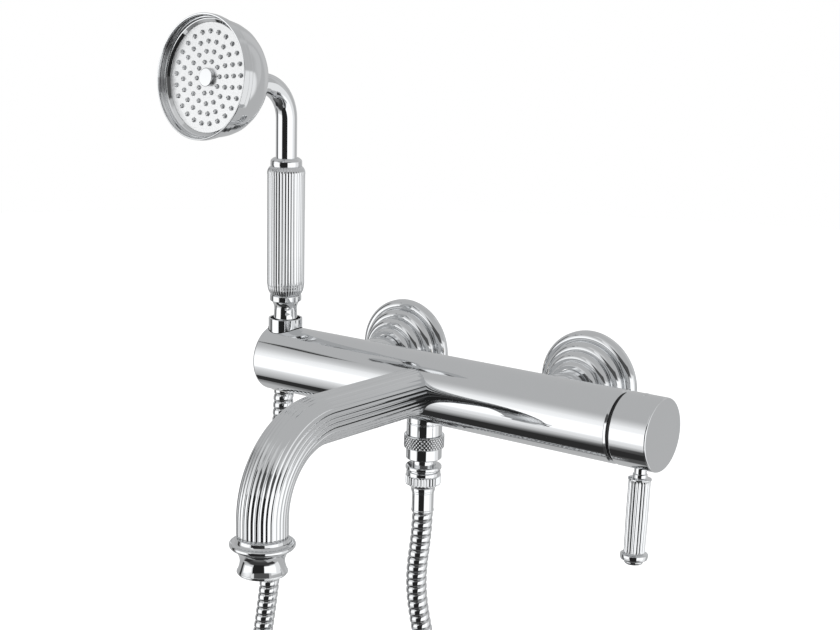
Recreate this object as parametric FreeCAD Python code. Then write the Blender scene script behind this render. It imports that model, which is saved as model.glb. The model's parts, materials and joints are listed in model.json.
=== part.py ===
"""Wall mixer tap for bath and shower: lever mixer, fixed spout, pull out hand shower.

Millimetres. X runs along the tap's body, with the lever at +X. The wall is the plane y = 0 and the
room is at -Y. +Z is up. The origin is midway between the two wall inlets, on the wall's face.
"""
import FreeCAD, Part
import math
import os

V = FreeCAD.Vector
RIGHT, OUT, INTO_WALL, UP, DOWN = V(1, 0, 0), V(0, -1, 0), V(0, 1, 0), V(0, 0, 1), V(0, 0, -1)

# Clearances
fit = 0.1            # radial gap between pieces that are screwed or pushed together
running_fit = 0.06   # radial gap at a turning or sliding fit
seat_gap = 0.3       # gap between a moving piece and what it comes to rest on

# Wall inlets
inlet_spacing = 150.0
body_from_wall = 79.7
stud_radius = 10.4775
stud_length = 14.0
stud_bore = 6.5
union_thread_radius = 11.2
union_sleeve_radius = 13.6
union_joint_from_wall = 52.0
union_sleeve_start = 12.0
union_seal_thickness = 1.5
union_thread_depth = 7.0

# Wall flanges: (radius, distance from the wall) of each valley between the rounded steps
flange_radius = 35.3
flange_rim = 2.4
flange_valleys = [(28.4, 6.0), (22.6, 13.0), (18.0, 20.2)]
flange_front = 25.0
flange_bead_radius = 16.2
flange_wall = 1.6
flange_step_bulge = 1.5
flange_bore_gap = 0.4

# Body
body_radius = 22.7
body_left = -131.9
body_right = 144.0
body_wall = 3.5
body_edge = 1.2
gallery_left = -92.0
gallery_right = 113.0
partition = 3.0
inlet_bore = 8.0
boss_blend = 2.5

# Cartridge and its nut
bonnet_radius = body_radius - 3.3
bonnet_collar_radius = body_radius - 1.8
cartridge_radius = bonnet_radius - 2.0
cartridge_cavity_start = 116.0
cartridge_seal_thickness = 1.5
cartridge_length = 18.0
cartridge_wall = 4.0
cartridge_chamber = 13.4
disc_radius = 12.9
disc_thickness = 3.5
disc_gap = 0.05
port_radius = 2.6
port_circle = 7.0
carrier_thickness = 4.0
spindle_radius = 4.9
spindle_tip_radius = 4.1
bonnet_bore = 11.0

# Lever cap and lever
gap_ring_width = 2.4
cap_length = 24.7
cap_wall = 2.5
cap_end_wall = 4.0
cap_hub_radius = 7.5
cap_edge = 0.5
lever_x = 158.0
lever_lean = 3.0
screw_radius = 2.5
index_radius = 3.1
index_height = 1.0
lever_stem_radius = 3.8
lever_collar_radius = 4.5
lever_collar_start = 25.9
lever_flange_radius = 6.8
lever_flange_start = 29.3
lever_grip_start = 31.0
lever_grip_radius = 6.7
lever_grip_end_radius = 6.4
lever_grip_end = 75.0
lever_flutes = 20
lever_end_radius = 8.6
lever_tip = 82.8

# Spout
spout_tilt = 1.5
spout_drop_y = -243.2
spout_bend_radius = 49.2
spout_radius = 15.3
spout_bore = 12.0
spout_flutes = 38
flute_depth = 0.35
spout_end_z = -56.8
nipple_radius = 9.4
nipple_bore = 7.0
nipple_length = 34.0
spout_spigot_radius = 12.4
spout_seal_thickness = 1.5
spout_seat = body_radius - 4.9   # from the body's axis to the seat of the spout's seal
spout_hole_start = 4.0
nipple_start = 6.0
spout_lap = 12.0                 # how far the spigot and the bore's start reach out of the body
outlet_bottom = -79.3
outlet_flange_radius = 19.3
outlet_waist_radius = 13.6
outlet_waist_top = -67.4
outlet_waist_bottom = -73.6
outlet_bead_radius = 15.1
aerator_radius = 11.2
aerator_length = 13.0
aerator_bore = 9.6
screen_thickness = 1.2
screen_hole = 0.75

# Shower outlet under the body, with the diverter
shower_x = -2.2
stub_radius = 11.75
stub_tail_radius = 9.9
stub_tail_top = -13.0
stub_groove_z = -25.6
stub_bottom = -31.6
neck_radius = 7.75
neck_bottom = -58.0
valve_chamber_radius = 8.4
valve_chamber_top = -17.0
valve_chamber_bottom = -29.0
valve_port = 5.0
neck_bore = 5.2
knurl_radius = 13.4
knurl_bottom = -40.4
skirt_radius = 11.8
skirt_bottom = -48.0
diverter_travel = 3.5
spindle_rod_radius = 2.2
valve_disc_radius = 7.4
valve_disc_thickness = 2.0
valve_seal_thickness = 1.7
pin_radius = 1.2
pin_z = -45.0
spring_radius = 6.2
spring_wire = 1.0
nipple_flange_radius = 11.9
nipple_flange_top = -52.6
nipple_flange_bottom = -55.4
shower_thread_radius = 10.4775
shower_thread_bottom = -64.6
check_valve_radius = 6.9
check_valve_wall = 1.3
check_valve_travel = 2.0
poppet_radius = 5.0
poppet_stem = 1.0

# Hose, its nuts and ferrules
nut_top = -56.5
nut_radius = 11.3
nut_grip_radius = 11.8
nut_grip_top = -59.5
nut_grip_bottom = -66.9
nut_flutes = 36
nut_bottom = -70.3
washer_thickness = 1.6
ferrule_radius = 7.55
ferrule_flange = 1.2
ferrule_bottom = -84.5
hose_radius = 7.0
hose_valley_radius = 6.2
hose_bore = 4.5
rib_pitch = 5.0
rib_marks = [0.0, 0.9, 3.6, 4.5]   # where each rib's four circles stand within its pitch
plain_end = 4.0

# Hand shower holder and hand shower
holder_x = -121.2
holder_radius = 11.6
holder_top = 28.8
holder_wall = 1.3
seat_top = 24.5
seat_bottom = 20.5
guide_radius = 9.4
guide_bore = 8.2
guide_top = 12.0
tail_seat_radius = 9.2
tail_waist_radius = 7.45
tail_waist_z = 34.0
tail_collar_radius = 10.3
tail_collar_bottom = 41.3
tail_top = 45.1
tail_thread_radius = 7.4
swivel_tail_radius = 4.5
swivel_ferrule_radius = 7.75
swivel_ferrule_top = 15.7
hose_top = 2.0
grip_radius = 12.7
grip_top = 133.2
grip_shoulder_top = 127.4
grip_shoulder_bottom = 51.2
grip_end_radius = 10.4
grip_flutes = 44
grip_wall = 2.2
collar_radius = 10.8
collar_top = 138.8
tube_radius = 7.1
tube_bore = 5.4
elbow_height = 186.8
elbow_radius = 25.0
rose_tilt = 7.1
rose_turn = -4.0     # degrees about the holder's axis, towards the left
rose_reach = 79.6
rose_radius = 39.3
rim_radius = rose_radius + 0.8
rose_wall = 1.5
rose_depth = 41.5
dome_radius = rose_radius - 15.0
dome_points = [(1.0, 14.0), (2.1, 20.0), (3.7, 24.0), (6.3, 28.0), (9.6, 32.0)]   # inset and depth
plate_radius = rose_radius - 4.3
plate_recess = 8.0
plate_thickness = 1.2
jet_counts = [10, 15, 20, 25]
first_jet_ring = 0.295 * plate_radius
jet_ring_step = 0.182 * plate_radius
jet_start = -6.0     # degrees from +X, the same in all rings
vent_ring = 0.57 * plate_radius
jet_radius = 1.4
jet_hole = 0.45
jet_proud = 1.0
disc_screw_radius = 5.4
disc_screw_proud = 2.0

# Hose route: the two legs' points, chosen by hand, and the tied coil between them
coil_x = -62.0
coil_z = -278.0
coil_radius = 71.0
coil_turns = 2.5
coil_pitch = 14.8
coil_front_y = -98.6
left_run_in = 34.0    # last straight run of each leg, along the coil's own direction
right_run_in = 30.0
left_leg = [V(holder_x, -body_from_wall, hose_top), V(holder_x, -body_from_wall, -34), V(-122.4, -82.2, -80),
            V(-124.8, -86.8, -132), V(-127.8, -92.0, -188)]
right_leg = [V(shower_x, -body_from_wall, ferrule_bottom), V(shower_x, -body_from_wall, -110.5),
             V(-6.0, -79.9, -137.5), V(-3.4, -77.4, -166), V(2.6, -70.2, -203)]
tie_width = 10.0
tie_thickness = 1.6
tie_gap = 0.5

axis_y = -body_from_wall
cap_left = body_right + gap_ring_width
cap_right = cap_left + cap_length
body_axis_point = V(0, axis_y, 0)
holder_axis = V(holder_x, axis_y, 0)
shower_axis = V(shower_x, axis_y, 0)
parts = {}


# Shapes that many pieces use
def placed(shape, origin, direction):
    """Move a shape that was drawn up the Z axis to an origin and a direction."""
    shape.Placement = FreeCAD.Placement(origin, FreeCAD.Rotation(UP, direction))
    return shape


def outline_edges(points, to_point):
    """Edges through (a, b) points. A third value is the bulge of the arc that reaches the point."""
    edges = []
    for index, point in enumerate(points):
        last = points[index - 1]
        start, end = to_point(last[0], last[1]), to_point(point[0], point[1])
        bulge = point[2] if len(point) > 2 else 0.0
        if bulge:
            along = (point[0] - last[0], point[1] - last[1])
            size = math.hypot(*along)
            middle = ((point[0] + last[0]) / 2 + along[1] / size * bulge,
                      (point[1] + last[1]) / 2 - along[0] / size * bulge)
            edges.append(Part.Arc(start, to_point(*middle), end).toShape())
        else:
            edges.append(Part.LineSegment(start, end).toShape())
    return edges


def turned(points, origin, direction):
    """Solid of revolution. The points are (radius, distance along the axis)."""
    wire = Part.Wire(outline_edges(points, lambda r, h: V(r, 0, h)))
    return placed(Part.Face(wire).revolve(V(0, 0, 0), UP, 360), origin, direction)


def rod(radius, start, end, origin=V(0, 0, 0), direction=UP):
    """Cylinder between two distances along a line through the origin point."""
    low, high = min(start, end), max(start, end)
    return Part.makeCylinder(radius, high - low, origin + direction * low, direction)


def ring(outer, inner, start, end, origin=V(0, 0, 0), direction=UP):
    return rod(outer, start, end, origin, direction).cut(rod(inner, start - 1, end + 1, origin, direction)
                                                         if end > start else
                                                         rod(inner, start + 1, end - 1, origin, direction))


def block(low, high):
    return Part.makeBox(high.x - low.x, high.y - low.y, high.z - low.z, low)


def fluted_wire(radius, count, depth, centre=V(0, 0, 0), across=V(1, 0, 0), side=V(0, 1, 0)):
    """Closed outline of hollow flutes that meet at ridges on the given radius."""
    def at(angle, size):
        return centre + across * (size * math.cos(angle)) + side * (size * math.sin(angle))
    step = 2 * math.pi / count
    edges = []
    for index in range(count):
        start = index * step
        edges.append(Part.Arc(at(start, radius), at(start + step / 2, radius * math.cos(step / 2) - depth),
                              at(start + step, radius)).toShape())
    return Part.Wire(edges)


def fluted_rod(radius, count, start, end, origin, direction):
    face = Part.Face(fluted_wire(radius, count, flute_depth))
    solid = face.extrude(V(0, 0, abs(end - start)))
    return placed(solid, origin + direction * min(start, end), direction)


def fused(shapes):
    result = shapes[0]
    for shape in shapes[1:]:
        result = result.fuse(shape)
    return result.removeSplitter()


def cut_all(shape, tools):
    for tool in tools:
        shape = shape.cut(tool)
    return shape


def save(name, shape):
    solids = shape.Solids
    if not shape.isValid() or not solids:
        print("check this shape:", name)
    parts[name] = solids[0] if len(solids) == 1 else Part.makeCompound(solids)
    parts[name].exportStep("parts/%s.step" % name)
    print("%-26s %d solid(s) %9.1f mm3" % (name, len(solids), parts[name].Volume))


# Wall inlets
def wall_flange(x):
    """Stepped rosette: a thin shell whose steps are rounded, with a bore for the union sleeve."""
    bore = union_sleeve_radius + flange_bore_gap
    outside = [(flange_radius, 0.0), (flange_radius, flange_rim)]
    inside = []
    last_radius, last_height = outside[-1]
    for radius, height in flange_valleys:
        outside.append((radius, height, flange_step_bulge + (height - last_height) * 0.25))
        inside.append((radius - flange_wall, height - flange_wall))
        last_radius, last_height = radius, height
    outside.append((flange_bead_radius, flange_front, 0.8))
    outside.append((bore, flange_front))
    inside.append((bore, flange_front - 2 * flange_wall))
    points = outside + inside[::-1] + [(flange_radius - 2 * flange_wall, 0.0)]
    return turned(points, V(x, 0, 0), OUT)


def union_stud(x):
    thread_end = union_joint_from_wall - union_thread_depth - union_seal_thickness
    points = [(stud_bore, -stud_length), (stud_radius, -stud_length), (stud_radius, 0),
              (union_thread_radius, 0), (union_thread_radius, thread_end), (stud_bore, thread_end)]
    return turned(points, V(x, 0, 0), OUT)


def union_sleeve(x):
    return ring(union_sleeve_radius, union_thread_radius + fit, union_sleeve_start,
                union_joint_from_wall, V(x, 0, 0), OUT)


def union_seal(x):
    end = union_joint_from_wall - union_thread_depth
    return ring(union_thread_radius - 0.4, stud_bore, end - union_seal_thickness, end, V(x, 0, 0), OUT)


def make_inlets():
    for side, x in (("left", -inlet_spacing / 2), ("right", inlet_spacing / 2)):
        save("wall_flange_" + side, wall_flange(x))
        save("union_stud_" + side, union_stud(x))
        save("union_sleeve_" + side, union_sleeve(x))
    save("union_seals", Part.makeCompound([union_seal(-inlet_spacing / 2), union_seal(inlet_spacing / 2)]))


# Body
def body_bar(radius, start, end):
    return rod(radius, start, end, body_axis_point, RIGHT)


def galleries():
    """Hot, cold and mixed waterways, as the solids to take out of the body."""
    inner = body_radius - body_wall
    far = 60.0
    half = partition / 2
    split = -26.0
    cold_start = inlet_spacing / 2 - inlet_bore - 5
    low, high = axis_y - far, axis_y + far
    hot = fused([block(V(gallery_left, low, -far), V(split, high, far)),
                 block(V(split - 1, low, half), V(cold_start - partition, high, far)),
                 block(V(cold_start - partition - 1, low, half), V(gallery_right, axis_y - half, far))])
    cold = block(V(cold_start, axis_y + half, -far), V(gallery_right, high, far))
    mixed = fused([block(V(split + partition, low, -far), V(cold_start - partition, high, -half)),
                   block(V(cold_start - partition - 1, low, -far), V(gallery_right, axis_y - half, -half))])
    core = body_bar(inner, gallery_left, gallery_right)
    spout_pad = rod(nipple_radius + 5, nipple_start, body_radius, V(0, axis_y, 0), OUT)
    shower_pad = rod(stub_tail_radius + 3, stub_tail_top + 4, -body_radius, shower_axis)
    pads = fused([spout_pad, shower_pad])
    return [shape.common(core).cut(pads) for shape in (hot, cold, mixed)]


def ports(start, end):
    """Three round ports of the cartridge, along X."""
    cuts = []
    for index in range(3):
        angle = math.radians(90 + 120 * index)
        centre = V(0, axis_y + port_circle * math.cos(angle), port_circle * math.sin(angle))
        cuts.append(rod(port_radius, start, end, centre, RIGHT))
    return cuts


def make_body():
    shell = body_bar(body_radius, body_left, body_right)
    bosses = []
    for x in (-inlet_spacing / 2, inlet_spacing / 2):
        bosses.append(rod(union_sleeve_radius, union_joint_from_wall, body_from_wall, V(x, 0, 0), OUT))
    shell = fused([shell] + bosses)
    ends = [edge for edge in shell.Edges if isinstance(edge.Curve, Part.Circle)
            and abs(edge.Curve.Radius - body_radius) < 0.01]
    saddles = [edge for edge in shell.Edges if not isinstance(edge.Curve, (Part.Circle, Part.Line))]
    shell = shell.makeFillet(boss_blend, saddles)
    shell = shell.makeChamfer(body_edge, [edge for edge in shell.Edges
                                          if isinstance(edge.Curve, Part.Circle)
                                          and abs(edge.Curve.Radius - body_radius) < 0.01
                                          and edge.Curve.Center.x > 0])
    threads = []
    for x in (-inlet_spacing / 2, inlet_spacing / 2):
        threads.append(rod(union_thread_radius, union_joint_from_wall - union_thread_depth,
                           body_from_wall - 10, V(x, 0, 0), OUT))
    shell = fused([shell] + threads)
    inlets = [rod(inlet_bore, 0, body_from_wall - 4, V(x, 0, 0), OUT)
              for x in (-inlet_spacing / 2, inlet_spacing / 2)]
    spout_hole = rod(nipple_radius + fit, spout_hole_start, body_radius + 1, V(0, axis_y, 0), OUT)
    spout_recess = rod(spout_spigot_radius + fit, spout_seat, body_radius + 1, V(0, axis_y, 0), OUT)
    shower_hole = rod(stub_tail_radius + fit, -2, -body_radius - 1, shower_axis)
    passage = rod(guide_radius + fit, -body_radius - 1, body_radius + 1, holder_axis)
    cavity = body_bar(bonnet_radius + fit, cartridge_cavity_start, body_right + 1)
    shell = cut_all(shell, galleries() + inlets + [spout_hole, spout_recess, shower_hole, passage, cavity])
    save("body", cut_all(shell, ports(gallery_right - 1, cartridge_cavity_start + 1)))


# Cartridge, lever cap and lever
def make_cartridge():
    seal_end = cartridge_cavity_start + cartridge_seal_thickness
    shell_end = seal_end + cartridge_length
    chamber_end = shell_end - cartridge_wall
    seal = body_bar(cartridge_radius, cartridge_cavity_start, seal_end)
    save("cartridge_seal", cut_all(seal, ports(cartridge_cavity_start - 1, seal_end + 1)))
    housing = body_bar(bonnet_radius - 0.2, seal_end, shell_end - 6).fuse(body_bar(cartridge_radius, seal_end, shell_end))
    housing = housing.cut(body_bar(cartridge_chamber, seal_end - 1, chamber_end))
    housing = housing.cut(body_bar(spindle_radius + running_fit, chamber_end - 1, shell_end + 1))
    save("cartridge_housing", housing)
    fixed_end = seal_end + disc_thickness
    save("ceramic_disc_fixed", cut_all(body_bar(cartridge_chamber - fit, seal_end, fixed_end),
                                       ports(seal_end - 1, fixed_end + 1)))
    moving = body_bar(disc_radius, fixed_end + disc_gap, fixed_end + disc_gap + disc_thickness)
    pocket = rod(port_radius + 1, fixed_end, fixed_end + disc_thickness / 2,
                 V(0, axis_y, port_circle), RIGHT)
    save("ceramic_disc_moving", moving.cut(pocket))
    carrier_start = fixed_end + disc_gap + disc_thickness
    hub_end = cap_right - cap_end_wall
    spindle = fused([body_bar(disc_radius - 0.4, carrier_start, carrier_start + carrier_thickness),
                     body_bar(spindle_radius, carrier_start, cap_left + 3),
                     body_bar(spindle_tip_radius, cap_left, hub_end - 1)])
    save("cartridge_spindle", spindle)
    nut = fused([body_bar(bonnet_radius, shell_end - 6, body_right),
                 body_bar(bonnet_collar_radius, body_right, cap_left - seat_gap)])
    nut = cut_all(nut, [body_bar(cartridge_radius + fit, shell_end - 7, shell_end),
                        body_bar(bonnet_bore, shell_end - 1, cap_left + 1)])
    save("bonnet_nut", nut)


def leaned(shape):
    """Turn a piece about the body's axis, by the lever's lean in the photograph."""
    turn = FreeCAD.Placement(V(0, 0, 0), FreeCAD.Rotation(RIGHT, -lever_lean), body_axis_point)
    return shape.transformGeometry(turn.toMatrix())


def make_lever():
    lever_axis = V(lever_x, axis_y, 0)
    inner = body_radius - cap_wall
    hub_start = cap_left + 4
    shell_points = [(0.0, cap_right), (0.0, cap_right - cap_end_wall),
                    (inner, cap_right - cap_end_wall), (inner, cap_left),
                    (body_radius - cap_edge, cap_left), (body_radius, cap_left + cap_edge),
                    (body_radius, cap_right - cap_edge), (body_radius - cap_edge, cap_right)]
    cap = turned(shell_points, body_axis_point, RIGHT)
    cap = fused([cap, body_bar(cap_hub_radius, hub_start, cap_right - cap_end_wall + 1)])
    screw_hole = rod(screw_radius + fit, 0, body_radius + 1, lever_axis)
    index_hole = rod(index_radius + fit, inner + 1, body_radius + 1, lever_axis)
    stem_hole = rod(screw_radius + fit, -inner + 1, -body_radius - 1, lever_axis)
    spindle_hole = body_bar(spindle_tip_radius + fit, hub_start - 1, cap_right - cap_end_wall)
    cap = cut_all(cap, [screw_hole, index_hole, stem_hole, spindle_hole])
    save("lever_cap", leaned(cap))
    save("cap_screw", leaned(rod(screw_radius, spindle_tip_radius + fit, cap_hub_radius + 3, lever_axis)))
    index_points = [(0.0, inner + 1), (index_radius, inner + 1), (index_radius, body_radius + 0.4),
                    (0.0, body_radius + index_height, 0.3)]
    save("index_button", leaned(turned(index_points, lever_axis, UP)))
    stem_points = [(0.0, inner - 1), (screw_radius, inner - 1), (screw_radius, body_radius - 0.4),
                   (lever_stem_radius, body_radius - 0.4), (lever_stem_radius, lever_collar_start),
                   (lever_collar_radius, lever_collar_start + 0.4),
                   (lever_collar_radius, lever_flange_start - 0.3),
                   (lever_flange_radius, lever_flange_start + 0.7), (lever_flange_radius, lever_grip_start),
                   (2.0, lever_grip_start), (2.0, lever_grip_end + 3), (0.0, lever_grip_end + 3)]
    stem = turned(stem_points, lever_axis, DOWN)
    save("lever_stem", leaned(stem.cut(body_bar(body_radius + 0.05, lever_x - 4, lever_x + 4).cut(
        rod(screw_radius + fit, inner - 2, body_radius, lever_axis, DOWN)))))
    taper = turned([(0.0, lever_grip_start), (lever_grip_radius + 0.4, lever_grip_start),
                    (lever_grip_end_radius + 0.4, lever_grip_end), (0.0, lever_grip_end)], lever_axis, DOWN)
    fluted = fluted_rod(lever_grip_radius, lever_flutes, lever_grip_start, lever_grip_end, lever_axis, DOWN)
    grip = fluted.common(taper).cut(rod(2.0 + fit, 0, lever_grip_end + 1, lever_axis, DOWN))
    save("lever_grip", leaned(grip))
    end_points = [(2.0 + fit, lever_grip_end), (lever_grip_end_radius, lever_grip_end),
                  (lever_end_radius, lever_grip_end + 1.6, 0.4), (lever_end_radius - 0.7, lever_grip_end + 3.6, 0.5),
                  (lever_end_radius - 3.0, lever_grip_end + 4.6), (lever_end_radius - 3.4, lever_grip_end + 5.6, 0.2),
                  (0.0, lever_tip, 0.9), (0.0, lever_grip_end + 3), (2.0 + fit, lever_grip_end + 3)]
    save("lever_end", leaned(turned(end_points, lever_axis, DOWN)))


# Spout
def spout_path():
    """Centre line of the spout: straight out of the body, one bend, straight down."""
    tilt = math.radians(spout_tilt)
    along = V(0, -math.cos(tilt), math.sin(tilt))
    corner = V(0, spout_drop_y, (axis_y - spout_drop_y) * math.tan(tilt))
    half_turn = (math.pi / 2 + tilt) / 2
    reach = spout_bend_radius * math.tan(half_turn)
    start, end = corner - along * reach, corner + DOWN * reach
    centre = start + V(0, -math.sin(tilt), -math.cos(tilt)) * spout_bend_radius
    middle = centre + (corner - centre).normalize() * spout_bend_radius
    return along, start, middle, end


def spout_wire(first, last):
    along, start, middle, end = spout_path()
    return Part.Wire([Part.LineSegment(first, start).toShape(), Part.Arc(start, middle, end).toShape(),
                      Part.LineSegment(end, last).toShape()])


def swept(path, profiles):
    return path.makePipeShell(profiles, True, False)


def make_spout():
    along, start, middle, end = spout_path()
    bottom = V(0, spout_drop_y, spout_end_z)
    base = V(0, axis_y, 0)
    side = RIGHT.cross(along)
    profile = fluted_wire(spout_radius, spout_flutes, flute_depth, base, RIGHT, side)
    tube = swept(spout_wire(base, bottom), [profile])
    tube = tube.cut(body_bar(body_radius + 0.05, -2 * spout_radius, 2 * spout_radius))
    spigot = rod(spout_spigot_radius, spout_seat + spout_seal_thickness, body_radius + 4, base, OUT)
    seal_room = rod(spout_spigot_radius + 1, 0, spout_seat + spout_seal_thickness, base, OUT)
    tube = tube.fuse(spigot).cut(seal_room)
    root = base + along * (body_radius + spout_lap)
    circle = Part.Wire(Part.makeCircle(spout_bore, root, along))
    bore = swept(spout_wire(root, bottom), [circle])
    tube = cut_all(tube, [bore, rod(nipple_radius + fit, 0, body_radius + spout_lap + 2, base, OUT)])
    save("spout_tube", tube)
    save("spout_seal", ring(spout_spigot_radius, nipple_radius + fit, spout_seat,
                            spout_seat + spout_seal_thickness, base, OUT))
    save("spout_nipple", ring(nipple_radius, nipple_bore, nipple_start, nipple_length, base, OUT))
    mouth = V(0, spout_drop_y, 0)
    top = spout_end_z
    bore = aerator_radius + fit
    bell = [(spout_radius + fit, top), (spout_radius + fit, top + 0.6), (spout_radius + 0.7, top + 0.6),
            (outlet_flange_radius - 1.0, top - 2.4, -0.4), (outlet_flange_radius, top - 3.8, -0.15),
            (outlet_flange_radius, top - 4.6), (outlet_flange_radius - 0.8, top - 5.1, 0.2),
            (outlet_flange_radius - 1.3, top - 6.1, -0.15), (outlet_flange_radius - 2.1, top - 6.5, 0.2),
            (outlet_waist_radius + 1.2, top - 8.0, -0.25), (outlet_waist_radius, outlet_waist_top, 0.5),
            (outlet_waist_radius, outlet_waist_bottom), (outlet_bead_radius - 0.5, outlet_waist_bottom - 1.2, 0.3),
            (outlet_bead_radius - 0.3, outlet_bottom + 1.6, -0.5), (outlet_bead_radius - 1.6, outlet_bottom + 0.3, -0.4),
            (bore + 0.6, outlet_bottom), (bore, outlet_bottom + 0.6),
            (bore, outlet_bottom + aerator_length + 1.5), (spout_bore, top - 0.1), (spout_bore, top)]
    save("spout_outlet", turned(bell, mouth, UP))
    housing = ring(aerator_radius, aerator_bore, outlet_bottom + 1.0, outlet_bottom + aerator_length, mouth)
    ledge = ring(aerator_radius, aerator_bore - 1.6, outlet_bottom + 4.0, outlet_bottom + 5.2, mouth)
    save("aerator_housing", fused([housing, ledge]))
    save("aerator_seal", ring(aerator_radius, aerator_bore, outlet_bottom + aerator_length,
                              outlet_bottom + aerator_length + 1.5, mouth))
    holes = []
    for count, radius in ((1, 0.0), (6, 2.4), (12, 4.8), (18, 7.2)):
        for index in range(count):
            angle = 2 * math.pi * index / count
            centre = mouth + V(radius * math.cos(angle), radius * math.sin(angle), 0)
            holes.append(rod(screen_hole, outlet_bottom, outlet_bottom + 6, centre))
    screen = rod(aerator_bore - fit, outlet_bottom + 2.6, outlet_bottom + 2.6 + screen_thickness, mouth)
    save("aerator_screen", screen.cut(Part.makeCompound(holes)))


# Shower outlet and diverter
def make_shower_outlet():
    top = valve_chamber_top + 4
    stub = fused([rod(stub_radius, top, stub_bottom, shower_axis), rod(neck_radius, top, neck_bottom, shower_axis)])
    saddle = body_bar(body_radius + 0.05, shower_x - 2 * stub_radius, shower_x + 2 * stub_radius)
    stub = stub.cut(saddle)
    stub = fused([stub, rod(stub_tail_radius, top, -body_radius - 2, shower_axis)])
    groove = ring(stub_radius + 1, stub_radius - 0.6, stub_groove_z, stub_groove_z + 0.8, shower_axis)
    slot = block(V(shower_x - pin_radius - fit, axis_y - 12, pin_z - pin_radius - diverter_travel - seat_gap),
                 V(shower_x + pin_radius + fit, axis_y + 12, pin_z + pin_radius + seat_gap))
    stub = cut_all(stub, [groove, slot, rod(valve_port, top + 1, neck_bottom - 1, shower_axis),
                          rod(valve_chamber_radius, valve_chamber_top, valve_chamber_bottom, shower_axis),
                          rod(neck_bore, valve_chamber_bottom + 1, neck_bottom - 1, shower_axis)])
    save("outlet_stub", stub)
    sleeve_top = stub_bottom - fit
    sleeve_points = [(neck_radius + running_fit, sleeve_top), (knurl_radius - 0.6, sleeve_top),
                     (knurl_radius, sleeve_top - 0.6), (knurl_radius, knurl_bottom + 0.6),
                     (knurl_radius - 0.6, knurl_bottom), (skirt_radius, knurl_bottom),
                     (skirt_radius, skirt_bottom + 0.8), (skirt_radius - 0.8, skirt_bottom),
                     (neck_radius + running_fit, skirt_bottom)]
    sleeve = turned(sleeve_points, shower_axis, UP)
    pin_half = skirt_radius - 0.3
    pin_base = V(shower_x, axis_y, pin_z)
    sleeve = sleeve.cut(rod(pin_radius + 0.02, -pin_half - 0.2, pin_half + 0.2, pin_base, OUT))
    save("diverter_sleeve", sleeve)
    save("diverter_pin", rod(pin_radius, -pin_half, pin_half, pin_base, OUT))
    disc_top = valve_chamber_top - fit - valve_seal_thickness
    spindle = fused([rod(valve_disc_radius, disc_top, disc_top - valve_disc_thickness, shower_axis),
                     rod(spindle_rod_radius, valve_chamber_top + 2, pin_z - 3, shower_axis)])
    save("diverter_spindle", spindle.cut(rod(pin_radius + 0.02, -5, 5, pin_base, OUT)))
    save("diverter_seal", ring(valve_disc_radius - 0.2, spindle_rod_radius + fit, disc_top,
                               disc_top + valve_seal_thickness, shower_axis))
    save("diverter_spring", ring(spring_radius, spring_radius - spring_wire, valve_chamber_bottom,
                                 disc_top - valve_disc_thickness, shower_axis))
    nipple_points = [(neck_radius + fit, nipple_flange_top), (nipple_flange_radius, nipple_flange_top),
                     (nipple_flange_radius, nipple_flange_bottom), (shower_thread_radius, nipple_flange_bottom),
                     (shower_thread_radius, shower_thread_bottom), (check_valve_radius + fit, shower_thread_bottom),
                     (check_valve_radius + fit, neck_bottom), (neck_radius + fit, neck_bottom)]
    save("outlet_nipple", turned(nipple_points, shower_axis, UP))
    make_check_valve()


def make_check_valve():
    top, bottom = neck_bottom, shower_thread_bottom
    inner = check_valve_radius - check_valve_wall
    guide_top_z = bottom + 1.2
    shell = cut_all(rod(check_valve_radius, top, bottom, shower_axis),
                    [rod(inner, top - 1.2, guide_top_z, shower_axis), rod(4.0, top + 1, top - 2, shower_axis)])
    vents = []
    for index in range(4):
        angle = math.radians(45 + 90 * index)
        centre = shower_axis + V(3.4 * math.cos(angle), 3.4 * math.sin(angle), 0)
        vents.append(rod(1.4, bottom - 1, guide_top_z + 1, centre))
    stem_hole = rod(poppet_stem + running_fit, bottom - 1, guide_top_z + 1, shower_axis)
    save("check_valve_body", cut_all(shell, vents + [stem_hole]))
    disc_top = top - 1.2 - fit
    disc_bottom = disc_top - 1.2
    save("check_valve_poppet", fused([rod(poppet_radius, disc_top, disc_bottom, shower_axis),
                                      rod(poppet_stem, disc_top - 0.5, bottom - 0.4, shower_axis)]))
    save("check_valve_spring", ring(poppet_stem + 1.2, poppet_stem + 0.6, guide_top_z, disc_bottom, shower_axis))


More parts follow.
